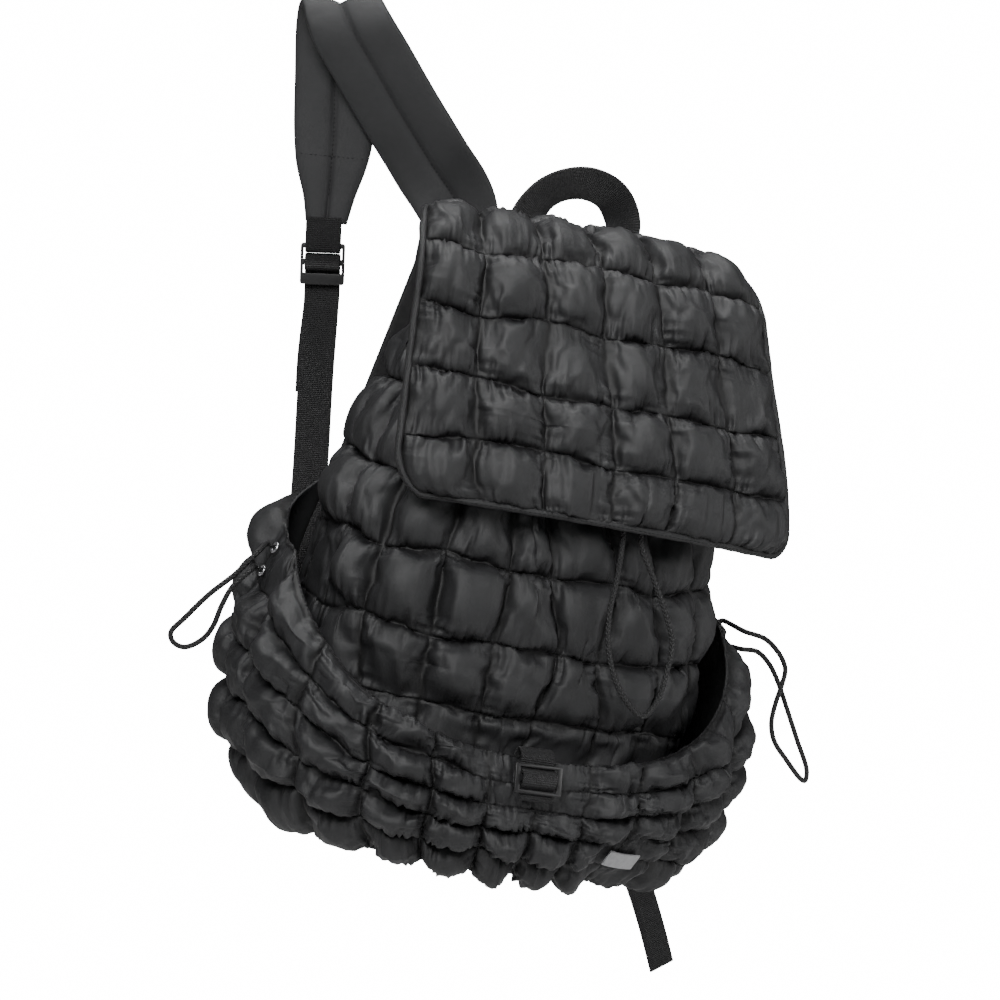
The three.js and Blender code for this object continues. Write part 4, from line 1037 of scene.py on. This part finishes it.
# %% Body shell
outer_rings = body_outer.reshape(rows, columns, 3)
lining_heights = np.linspace(BODY_HEIGHT, WALL, LINING_RINGS)
lining_rings = bagged(np.stack([body_face(turn[0], np.full(columns, h)) for h in lining_heights]))
floor_low, floor_high = bagged((0, 0, 0)), bagged((0, 0, WALL))
shares = np.linspace(0.12, 0.9, 9)
low_rings = [floor_low + (outer_rings[0] - floor_low) * s for s in shares]
high_rings = [floor_high + (lining_rings[-1] - floor_high) * s for s in shares[::-1]]
rings = np.concatenate((low_rings, outer_rings, lining_rings, high_rings))
points = np.vstack((rings.reshape(-1, 3), floor_low, floor_high))
faces = [tuple(q) for q in grid_faces(len(rings), columns, closed=True)]
last = (len(rings) - 1) * columns
for c in range(columns):
    n = (c + 1) % columns
    faces.append((len(points) - 2, n, c))
    faces.append((len(points) - 1, last + c, last + n))
uv = np.full((len(points), 2), LINED)
first = len(low_rings) * columns
uv[first:first + rows * columns] = np.stack((cells_u.ravel(), cells_v.ravel()), -1)
body = face_out(object_from("body_quilt", points, faces, uv))
gather_seams(subdivide(body), *BODY_PUFF, 1, lambda u, v: (u < BODY_COLUMNS) * (1 - smooth(v, 6, 7)))
body.data.materials.append(shell_fabric)
body.data.materials.append(panel_fabric)
centres = np.zeros(len(body.data.polygons) * 3, np.float32)
body.data.polygons.foreach_get("center", centres)
upright = (centres.reshape(-1, 3) / MM + HOOK) @ TILT
around = np.arctan2(upright[:, 0], -upright[:, 1])
lining = body_face(around, upright[:, 2])
behind = np.hypot(*(upright - lining)[:, :2].T) < LINING_NEAR
body.data.polygons.foreach_set("material_index", behind.astype(np.int32))
finish_piece(body, shell_fabric, ["body"])
stitches("body_stitches", seam_lines(
    body_outer, body_out_hung, rows, columns, range(FINE, rows, FINE), range(0, len(quilted), FINE)
))
print("body faces", len(body.data.polygons))

# %% [markdown]
# ## The flap
# The flap has six columns. The cross seams are elastic, so its puffs bulge most between
# them, and the last row, next to the binding, is a band of narrow gathers.

# %% Flap
FLAP_COLUMNS, FLAP_ROWS, FLAP_CROWN, FLAP_FINE = 6, 7, 11, 16
HEM_GATHER = 3.2
columns, rows = FLAP_COLUMNS * FLAP_FINE + 1, FLAP_ROWS * FLAP_FINE + 1
cells_u, cells_v = np.meshgrid(
    grid_cells(FLAP_COLUMNS, FLAP_FINE, CROWD_ACROSS), grid_cells(FLAP_ROWS, FLAP_FINE, CROWD_DOWN)
)
UNDER_BINDING = 4.2
flap_last = 1 - UNDER_BINDING / FLAP_LENGTH
flap_side = 1 - UNDER_BINDING / FLAP_HALF
drift_u = cells_u + 0.07 * wobble(cells_v, np.round(cells_u), 41) * within(cells_u, FLAP_COLUMNS)
drift_v = cells_v + 0.1 * wobble(cells_u, np.round(cells_v), 42) * within(cells_v, FLAP_ROWS)
along = np.interp(drift_v, np.arange(FLAP_ROWS + 1), FLAP_SEAMS) * flap_last
across = (2 * drift_u / FLAP_COLUMNS - 1) * flap_side
out = normal_of(flap_face, np.clip(along, 0.01, 0.97), across)
v_share = cells_v / FLAP_ROWS
rolled = 0.04 + 0.96 * smooth(v_share, 0.12, 0.3)
dome, folds = puffs(cells_u, cells_v, 3, FLAP_PUFF[1], 1.4)
hem = smooth(cells_v, FLAP_ROWS - 1, FLAP_ROWS - 0.8)
narrow = np.sin(2 * math.pi * (cells_u * 2.2 + 0.35 * np.sin(3.1 * cells_u))) ** 2
folds = folds - HEM_GATHER * hem * narrow * dome
thick = SEWN_THICK + ((FLAP_WALL - SEWN_THICK + FLAP_CROWN) * dome + folds) * rolled
flap_outer = bagged((flap_face(along, across) + out * thick[..., None]).reshape(-1, 3))
flap_inner = bagged(flap_face(along, across).reshape(-1, 3))
flap_out = out.reshape(-1, 3) @ TILT.T
sewn = (on_seam(cells_u) | on_seam(cells_v)).ravel().astype(float)
flap_outer = settle("flap", flap_outer, columns, False, sewn, flap_out, rolled.ravel())
points, faces = pillow(flap_outer, flap_inner, rows, columns)
flap = face_out(object_from("flap_quilt", points, faces, cell_map(cells_u, cells_v)))
gather_seams(subdivide(flap), *FLAP_PUFF, 3, lambda u, v: smooth(v, 0.8, 2))
finish_piece(flap, shell_fabric, ["flap"])
stitches("flap_stitches", seam_lines(
    flap_outer, flap_out, rows, columns,
    range(0, rows, FLAP_FINE), range(0, columns, FLAP_FINE),
))
print("flap faces", len(flap.data.polygons))

# %% [markdown]
# ## The flap's binding
# A strip of fabric is folded over the flap's free border and stitched through. Its
# section is a flattened round, slightly uneven, as doubled cloth is on a curve.

# %% Flap binding
BINDING_THICK = 5


def binding_route():
    side = 1 - 0.5 * BINDING_WIDE / FLAP_HALF
    start, end = 0.06, 1 - 0.5 * BINDING_WIDE / FLAP_LENGTH
    bend = 1 - LEFT_CORNER / FLAP_LENGTH
    down = [start + (bend - start) * i / 15 for i in range(15)]
    down += [bend + (end - bend) * math.sin(i / 9 * 0.5 * math.pi) for i in range(10)]
    route = [(a, -side) for a in down]
    route += [(end, side * (2 * i / 16 - 1)) for i in range(1, 16)]
    route += [(a, side) for a in down[::-1]]
    along, across = np.array(route).T
    out = normal_of(flap_face, np.clip(along, 0.01, 0.97), across)
    return flap_face(along, across) + out * 0.5 * FLAP_WALL, out


middle, out = binding_route()
dense = curve(np.hstack((middle, out)), 8)
along = lengths(dense[:, :3])
goal = np.linspace(0, along[-1], math.ceil(along[-1] / 2.2))
rows = resample(dense, along, goal)
line_even, out_even = rows[:, :3], unit(rows[:, 3:])
ahead = unit(np.gradient(line_even, axis=0))
across = unit(np.cross(ahead, out_even))
up = np.cross(across, ahead)
SIDES = 14
ring_turn = np.linspace(0, 2 * math.pi, SIDES, endpoint=False)
count = len(line_even)
uneven = 1 + 0.05 * np.sin(goal / 5.1) + 0.05 * np.sin(goal / 2.3 + 1)
twist = 0.35 * np.sin(goal[:, None] / 3.4 + 2 * ring_turn[None, :])
wide = (0.5 * BINDING_WIDE - GAP) * np.cos(ring_turn)[None, :] * uneven[:, None]
thick = (0.5 * BINDING_THICK + 0.25 * twist) * np.sin(ring_turn)[None, :]
points = line_even[:, None] + across[:, None] * wide[..., None] + up[:, None] * thick[..., None]
faces = loft_faces(count, SIDES)
binding = face_out(object_from("flap_binding_strip", bagged(points.reshape(-1, 3)), faces))
finish_piece(binding, binding_fabric, ["flap_binding"])
seam = line_even + up * (0.5 * BINDING_THICK + 0.02) * 0.86 + across * 1.15
stitches("binding_stitches", [(bagged(seam), up @ TILT.T)], 2.4 * MM, 3.2 * MM, 0.36 * MM)
print("binding length", round(along[-1]), "mm")

# %% [markdown]
# ## Bands
# Straps, links, the handle and the tab are flat bands that turn and fold. Stations give
# a place and the direction of the band's width, and the band is swept between them with
# a rounded section. Its map holds metres across and along for the ribs.

# %% Band helper
def band_axes(places, wides):
    ahead = unit(np.gradient(places, axis=0))
    wide = unit(wides - ahead * (wides * ahead).sum(1)[:, None])
    return ahead, wide, unit(np.cross(wide, ahead))


def turned(turn, lean=0.0):
    """The direction of a band's width after a lean about Y and a turn about Z."""
    x, z = math.cos(lean), -math.sin(lean)
    return np.array((x * math.cos(turn), x * math.sin(turn), z))


def sweep(name, places, wides, halves, section, step=2.5, spans=10):
    """A closed loft of a section through stations in the hanging frame, in mm.

    section is rows of (share of half width, height in mm), round the band."""
    dense = curve(np.hstack((places, wides * 40, np.asarray(halves, float)[:, None])), spans)
    along = lengths(dense[:, :3])
    count = max(4, math.ceil(along[-1] / step) + 1)
    goal = np.linspace(0, along[-1], count)
    line = resample(dense, along, goal)
    ahead, wide, out = band_axes(line[:, :3], line[:, 3:6])
    section = np.asarray(section, float)
    reach = line[:, 6:7] * section[None, :, 0]
    points = line[:, None, :3] + wide[:, None] * reach[..., None] + out[:, None] * section[None, :, 1:2]
    uv = loft_map(np.hstack((reach, reach[:, :1])), goal) * MM
    faces = loft_faces(count, len(section))
    made = face_out(object_from(name, hung(points.reshape(-1, 3)), faces, uv))
    return made, line[:, :3], wide, out, line[:, 6]


WEB_SECTION = [
    (-1, 0.0), (-0.97, -0.62), (-0.9, -0.8), (-0.45, -0.8), (0, -0.8), (0.45, -0.8), (0.9, -0.8),
    (0.97, -0.62), (1, 0.0), (0.97, 0.62), (0.9, 0.8), (0.45, 0.8), (0, 0.8), (-0.45, 0.8), (-0.9, 0.8),
    (-0.97, 0.62),
]

# %% [markdown]
# ## Shoulder pads
# Each shoulder pad is two soft ribs of foam either side of a centre seam, in plain
# nylon. The left one is folded over the hook that the bag hangs from. Its lower end
# narrows to the webbing.

# %% Shoulder pads
STRAP_FACE = math.radians(-20)
LEFT_PAD = ((-49, 82.5, 338, 27.5), (-49, 82.5, 372, 27.5), (-52, 84, 405, 27.5))
LEFT_FREE = (
    (20, 86, 443, 27.5), (-1, 87, 477, 27.5), (-20, 87, 509, 27.5), (-34, 88, 533, 27), (-37, 92, 542, 26.5),
    (-38, 99, 547, 26), (-38, 106, 543, 26), (-38, 110, 533, 26.5), (-38, 112, 500, 27), (-39, 112, 462, 27),
    (-41, 112, 440, 24), (-43, 112, 418, 17.5), (-45, 112, 401, 14),
)
RIGHT_PAD = ((92, 82.5, 332, 27), (92, 82.5, 368, 27), (93, 84, 385, 27))
RIGHT_FREE = (
    (181, 88, 365, 27.5), (183, 97, 370, 27.5), (185, 106, 365, 27.5), (186, 110, 353, 27.5),
    (185, 113, 330, 27.5), (182, 114, 296, 27.5), (176, 114, 247, 27.5), (168, 113, 199, 27.5),
    (161, 112, 160, 24), (157, 111, 138, 17.5), (154, 110, 121, 14),
)
LOBE = 4.4
pad_side = [
    (-1.0, 0.34), (-0.985, 0.5), (-0.95, 0.68), (-0.85, 0.88), (-0.7, 0.97), (-0.5, 1.0), (-0.3, 0.97),
    (-0.14, 0.86), (-0.06, 0.66), (-0.02, 0.42),
]
pad_top = pad_side + [(-a, h) for a, h in pad_side[::-1]]
PAD_SECTION = [(a, -h * LOBE) for a, h in pad_top] + [(a, h * LOBE) for a, h in pad_top[::-1]]


def strap_pad(name, node, held, free, turn):
    places = np.vstack((tilted([r[:3] for r in held]), [r[:3] for r in free]))
    wides = np.array([turned(0.0)] * len(held) + [turned(turn)] * len(free))
    halves = [r[3] for r in (*held, *free)]
    made, line, wide, out, half = sweep(name, places, wides, halves, PAD_SECTION, 3.0)
    finish_piece(made, strap_fabric, [node])
    return made, line, wide, out, half


left_pad, pad_line, pad_wide, pad_out, pad_half = strap_pad(
    "left_shoulder_pad", "left_strap_pad", LEFT_PAD, LEFT_FREE, STRAP_FACE
)
right_pad, right_line, right_wide, right_out, right_half = strap_pad(
    "right_shoulder_pad", "right_strap_pad", RIGHT_PAD, RIGHT_FREE, 0.1
)


def pad_seams(line, wide, out, half, cross_at):
    """Centre seams on both faces and a cross row where the foam ends."""
    rows = [
        (hung(line[4:-6] + s * out[4:-6] * 0.5 * LOBE), s * out[4:-6]) for s in (-1, 1)
    ]
    for s in (-1, 1):
        share = np.linspace(-0.88, 0.88, 23)[:, None]
        crown = np.interp(np.abs(share), (0, 0.1, 0.5, 0.9), (0.6, 0.85, 1.02, 0.84))
        lift = s * out[cross_at] * LOBE * crown
        cross = line[cross_at] + wide[cross_at] * half[cross_at] * share + lift
        rows.append((hung(cross), np.repeat(s * out[cross_at][None], 23, 0)))
    return rows


cross_left = int(np.argmin(np.abs(pad_line[:, 2] - 447) + 1000 * (pad_line[:, 1] < 105)))
cross_right = int(np.argmin(np.abs(right_line[:, 2] - 168)))
stitches("shoulder_pad_stitches", [
    *pad_seams(pad_line, pad_wide, pad_out, pad_half, cross_left),
    *pad_seams(right_line, right_wide, right_out, right_half, cross_right),
], 2.2 * MM, 3.0 * MM, 0.32 * MM)
print("pads made")

# %% [markdown]
# ## Webbing, links and their routes through the locks
# The lower webbing starts at the bottom corner of the back, threads the ladder lock and
# ends in a free tail. The short link joins the lock to the pad.

# %% Lower webbing
LEFT_LOCK = (np.array((-48, 111.5, 373)), STRAP_FACE, 0.04, 26.9)
RIGHT_LOCK = (np.array((149.5, 109, 94)), math.radians(8), 0.16, 26.4)
LINK_ROUTE = ((-3.3, 10.4), (-2.2, 8.6), (2.2, 8.6), (3.3, 10.4))
LINK_SEWN = 5
THREAD_ROUTE = (
    (3.4, -24), (3.3, -5.6), (-3.2, -2.2), (-3.5, 3.8), (3.2, 6.2), (6.4, 3.6), (6.8, -8), (6.8, -24),
)
LEFT_WEB = (
    (-79, 81.4, 41, 0), (-80, 82.8, 62, 0), (-77, 89, 100, -0.06), (-69, 98, 160, -0.2),
    (-59.5, 107, 230, -0.33), (-53, 112, 300, -0.35),
)
LEFT_TAIL = ((-52.5, 115.6, 310, -0.35), (-54.5, 115, 285, -0.35))
RIGHT_WEB = ((88.7, 81.4, 2, 0), (97, 82.8, 17, 0), (112, 90, 35, 0.04), (130, 100, 54, 0.1))
RIGHT_TAIL = (
    (146, 114, 52, 0.14), (146, 110, 22, 0.2), (152, 100, -12, 0.28), (163, 90, -42, 0.34),
    (173, 83, -72, 0.38), (181, 78, -102, 0.4), (188, 75, -132, 0.4),
)
SLIM_HALF = 12


def lock_turn(lock):
    _, turn, lean, _ = lock
    return np.array(Matrix.Rotation(turn, 3, "Z") @ Matrix.Rotation(lean, 3, "Y"))


def through(lock, route):
    places = np.array([(0, depth, height) for depth, height in route], float)
    return places @ lock_turn(lock).T + lock[0]


for side, lock, rising, falling in (
    ("left", LEFT_LOCK, LEFT_WEB, LEFT_TAIL), ("right", RIGHT_LOCK, RIGHT_WEB, RIGHT_TAIL),
):
    wide_here = lock_turn(lock)[:, 0]
    middle = through(lock, THREAD_ROUTE)
    places = np.vstack(([r[:3] for r in rising], middle, [r[:3] for r in falling]))
    wides = np.array(
        [turned(r[3]) for r in rising] + [wide_here] * len(middle) + [turned(r[3]) for r in falling]
    )
    slim = [SLIM_HALF] * len(places)
    web, *_ = sweep(f"{side}_lower_webbing", places, wides, slim, WEB_SECTION, 1.5, 12)
    finish_piece(web, webbing, [f"{side}_strap_webbing"])
    reach = lock[3] + LINK_SEWN
    ring = through(lock, [(-2.6, reach), (-3.3, lock[3] - 3), *LINK_ROUTE, (3.3, lock[3] - 3), (2.6, reach)])
    wides, slim = np.array([wide_here] * len(ring)), [SLIM_HALF] * len(ring)
    link, *_ = sweep(f"{side}_link_webbing", ring, wides, slim, WEB_SECTION, 1.0, 12)
    finish_piece(link, webbing, [f"{side}_strap_link"])
print("webbing made")

# %% [markdown]
# ## The carry handle
# The handle is one length of webbing. Its feet are sewn flat to the back, and it twists
# so that its top lies flat in the hand.

# %% Carry handle
HANDLE_OFFSET, HANDLE_Y, HANDLE_FOOT_Y = 16, 90, 79.9
HANDLE_LIE = 0.3
HANDLE_ROUTE = (
    (-23, 374), (-23, 392), (-22, 407), (-17, 419), (-8, 430.5), (4, 438.5), (18, 442.5), (31, 441.5),
    (41, 437), (48, 428.5), (51, 418), (48, 407), (41, 397), (35, 388), (34, 374),
)
route = np.array(HANDLE_ROUTE, float)
first, last = np.maximum(np.arange(len(route)) - 1, 0), np.minimum(np.arange(len(route)) + 1, len(route) - 1)
step = unit(route[last] - route[first])
rise = smooth(route[:, 1], 400, 440)
lie = HANDLE_LIE * rise
wides = unit(np.stack((step[:, 1] * (1 - lie), lie, -step[:, 0] * (1 - lie)), -1))
depth = HANDLE_FOOT_Y + (HANDLE_Y - HANDLE_FOOT_Y) * rise
places = np.stack((HANDLE_OFFSET + route[:, 0], depth, route[:, 1]), -1)
THICK_WEB = [(a, 2 * h) for a, h in WEB_SECTION]
handle, *_ = sweep(
    "carry_handle_webbing", tilted(places), tilted(wides), [12.5] * len(places), THICK_WEB, 1.5, 12
)
finish_piece(handle, webbing, ["carry_handle"])

# %% [markdown]
# ## The front tab
# A short tab of webbing comes over the pocket's rim and threads a slim slider.

# %% Front tab
TAB_RISE, TAB_OFF = 0.84, 10.5
TAB_ROUTE = ((-2.5, 7), (2.5, 3.2), (2.5, -3.2), (-2.5, -7), (-1.7, -14))
TAB_RIM = ((0.66, -2.4, 0), (0.86, -2.4, 0), (0.98, -2.4, 5), (0.99, 4.5, 8), (0.97, 9.4, 3.6))
tab = surface_frame(pocket_face, TAB_TURN, TAB_RISE, TAB_OFF)
places = []
for rise_at, off, up_by in TAB_RIM:
    here = surface_frame(pocket_face, TAB_TURN, min(rise_at, 0.94), 0)
    spot = pocket_face(np.array(TAB_TURN), np.array(rise_at))
    places.append(spot + here["out"] * off + here["up"] * up_by)
places += [tab["place"] + tab["out"] * o + tab["up"] * u for o, u in TAB_ROUTE]
wides = np.repeat(tab["right"][None], len(places), 0)
tab_web, *_ = sweep(
    "front_tab_band", tilted(places), tilted(wides), [SLIM_HALF] * len(places), WEB_SECTION, 0.8, 12
)
finish_piece(tab_web, webbing, ["front_tab_webbing"])
print("handle and tab made")

# %% [markdown]
# ## Locks, slider and flat panels
# The ladder locks and the slider are moulded, so their edges are rounded. Their shape
# in the solid model is right: a copy of it is merged, its flat faces are joined again,
# and a bevel rounds the edges. The panels and sewn tabs are finished the same way.

# %% Rounded copies of solid pieces
def rounded(name, node, finish, wide, segments, sharp=30):
    """A copy of a solid piece with its flat faces joined and its edges rounded."""
    made = NODES[node].copy()
    made.data = NODES[node].data.copy()
    made.name = made.data.name = name
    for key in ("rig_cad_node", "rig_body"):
        del made[key]
    made.parent = None
    bpy.context.scene.collection.objects.link(made)
    made.data.materials.clear()
    alone(made)
    bpy.ops.object.mode_set(mode="EDIT")
    bpy.ops.mesh.select_all(action="SELECT")
    bpy.ops.mesh.remove_doubles(threshold=1e-5)
    bpy.ops.mesh.dissolve_limited(angle_limit=math.radians(2))
    bpy.ops.object.mode_set(mode="OBJECT")
    edge = made.modifiers.new("edge", "BEVEL")
    edge.width = wide * MM
    edge.segments = segments
    edge.limit_method = "ANGLE"
    edge.angle_limit = math.radians(sharp)
    edge.harden_normals = False
    apply_all(made)
    finish_piece(made, finish, [node])
    alone(made)
    bpy.ops.object.shade_smooth_by_angle(angle=math.radians(40))
    return made


for side in ("left", "right"):
    rounded(f"{side}_ladder_lock", f"{side}_strap_lock", plastic, 0.7, 3)
    rounded(f"{side}_corner_tab", f"{side}_anchor_tab", panel_fabric, 0.5, 2)
rounded("front_tab_bar", "front_tab_slider", plastic, 0.5, 3)
rounded("back_padding", "back_panel", panel_fabric, 2.4, 5, 60)
rounded("floor_padding", "base_panel", panel_fabric, 2.6, 5, 60)
print("rounded pieces made")

# %% [markdown]
# ## Eyelets
# An eyelet is a small rolled ring of plated metal. It starts as a torus at its size and
# place, facing out of the cloth, and its place is then put into its mesh.

# %% Eyelets
RING_RADIUS, RING_THICK = 3.05 * MM, 1.0 * MM


def eyelet(name, node, spot):
    out, up, right = (Vector(tilted(spot[k])) for k in ("out", "up", "right"))
    turn = Matrix((right, up, out)).transposed().to_4x4()
    bpy.ops.object.select_all(action="DESELECT")
    bpy.ops.mesh.primitive_torus_add(
        major_radius=RING_RADIUS, minor_radius=RING_THICK, major_segments=40, minor_segments=14
    )
    ring = bpy.context.object
    ring.name = name
    flat = Matrix.Diagonal((1, 1, 0.85, 1))
    ring.data.transform(Matrix.Translation(Vector(bagged(spot["place"]))) @ turn @ flat)
    return finish_piece(ring, eyelet_metal, [node])


for place, pair in EYELETS.items():
    for i, spot in enumerate(pair, 1):
        eyelet(f"{place}_ring_{i}", f"{place}_eyelet_{i}", spot)
print("eyelets made")

# %% [markdown]
# ## The label
# A small woven patch is sewn to the pocket near the floor. It is bare, its corners are
# rounded, and it bends with the cloth.

# %% Label
LABEL_WIDE, LABEL_HIGH, LABEL_THICK, LABEL_OFF = 27, 12, 1.2, 5.8
spot = surface_frame(pocket_face, LABEL_TURN, LABEL_RISE, LABEL_OFF)
bpy.ops.object.select_all(action="DESELECT")
bpy.ops.mesh.primitive_cube_add(size=1)
patch = bpy.context.object
patch.name = "label_patch"
patch.data.transform(Matrix.Diagonal((LABEL_WIDE * MM, LABEL_HIGH * MM, LABEL_THICK * MM, 1)))
alone(patch)
bpy.ops.object.mode_set(mode="EDIT")
bpy.ops.mesh.select_all(action="SELECT")
bpy.ops.mesh.subdivide(number_cuts=11)
bpy.ops.object.mode_set(mode="OBJECT")
for vertex in patch.data.vertices:
    x = vertex.co.x / (0.5 * LABEL_WIDE * MM)
    vertex.co.z += (0.5 - 1.1 * x * x) * MM
edge = patch.modifiers.new("edge", "BEVEL")
edge.width, edge.segments, edge.limit_method = 0.35 * MM, 3, "ANGLE"
edge.angle_limit = math.radians(60)
apply_all(patch)
turn = Matrix([Vector(tilted(spot[k])) for k in ("right", "up", "out")]).transposed().to_4x4()
patch.data.transform(Matrix.Translation(Vector(bagged(spot["place"]))) @ turn)
finish_piece(patch, label_fabric, ["label"])
print("label made")

# %% [markdown]
# ## Stage and light
# The photograph shows the bag on plain white under soft, even light. A pale floor lies
# well below, the surroundings are white, and a large soft lamp stands to the upper left,
# with a weaker one to the right and another above.

# %% Floor
bpy.ops.object.select_all(action="DESELECT")
bpy.ops.mesh.primitive_plane_add(size=40, location=(0, 0, -1.1))
floor = bpy.context.object
floor.name = "floor"
WHITE_SHOWN, WHITE_LIGHT = 16.0, 0.12


def bright_to_camera(tree, plain, output):
    """Shows plain white where the camera looks, and gives soft light everywhere else."""
    in_material = output.bl_idname.endswith("Material")
    white = tree.nodes.new("ShaderNodeEmission" if in_material else "ShaderNodeBackground")
    white.inputs["Color"].default_value = (1, 1, 1, 1)
    white.inputs["Strength"].default_value = WHITE_SHOWN
    path = tree.nodes.new("ShaderNodeLightPath")
    mix = tree.nodes.new("ShaderNodeMixShader")
    tree.links.new(path.outputs["Is Camera Ray"], mix.inputs[0])
    tree.links.new(plain.outputs[0], mix.inputs[1])
    tree.links.new(white.outputs[0], mix.inputs[2])
    tree.links.new(mix.outputs[0], output.inputs["Surface"])


floor_finish = bpy.data.materials.new("pale_floor")
floor_finish.use_nodes = True
nodes = floor_finish.node_tree.nodes
nodes["Principled BSDF"].inputs["Base Color"].default_value = (0.8, 0.8, 0.8, 1)
nodes["Principled BSDF"].inputs["Roughness"].default_value = 0.9
bright_to_camera(floor_finish.node_tree, nodes["Principled BSDF"], nodes["Material Output"])
floor.data.materials.append(floor_finish)

# %% Lights
world = bpy.data.worlds.new("studio")
bpy.context.scene.world = world
world.use_nodes = True
nodes = world.node_tree.nodes
nodes["Background"].inputs["Color"].default_value = (1, 1, 1, 1)
nodes["Background"].inputs["Strength"].default_value = WHITE_LIGHT
bright_to_camera(world.node_tree, nodes["Background"], nodes["World Output"])


def lamp(name, place, size, power):
    light = bpy.data.lights.new(name, "AREA")
    light.shape = "SQUARE"
    light.size = size
    light.energy = power
    obj = bpy.data.objects.new(name, light)
    bpy.context.scene.collection.objects.link(obj)
    obj.location = place
    obj.rotation_mode = "QUATERNION"
    obj.rotation_quaternion = (AIM - Vector(place)).to_track_quat("-Z", "Y")
    return obj


lamp("key", (-0.9, -1.7, 1.3), 1.1, 80)
lamp("fill", (1.9, -1.2, 0.1), 1.2, 22)
lamp("top", (0.2, 0.2, 1.6), 0.9, 40)
print("lights made")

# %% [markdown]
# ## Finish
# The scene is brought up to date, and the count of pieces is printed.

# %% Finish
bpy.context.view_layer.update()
print("pieces", len(PIECES))
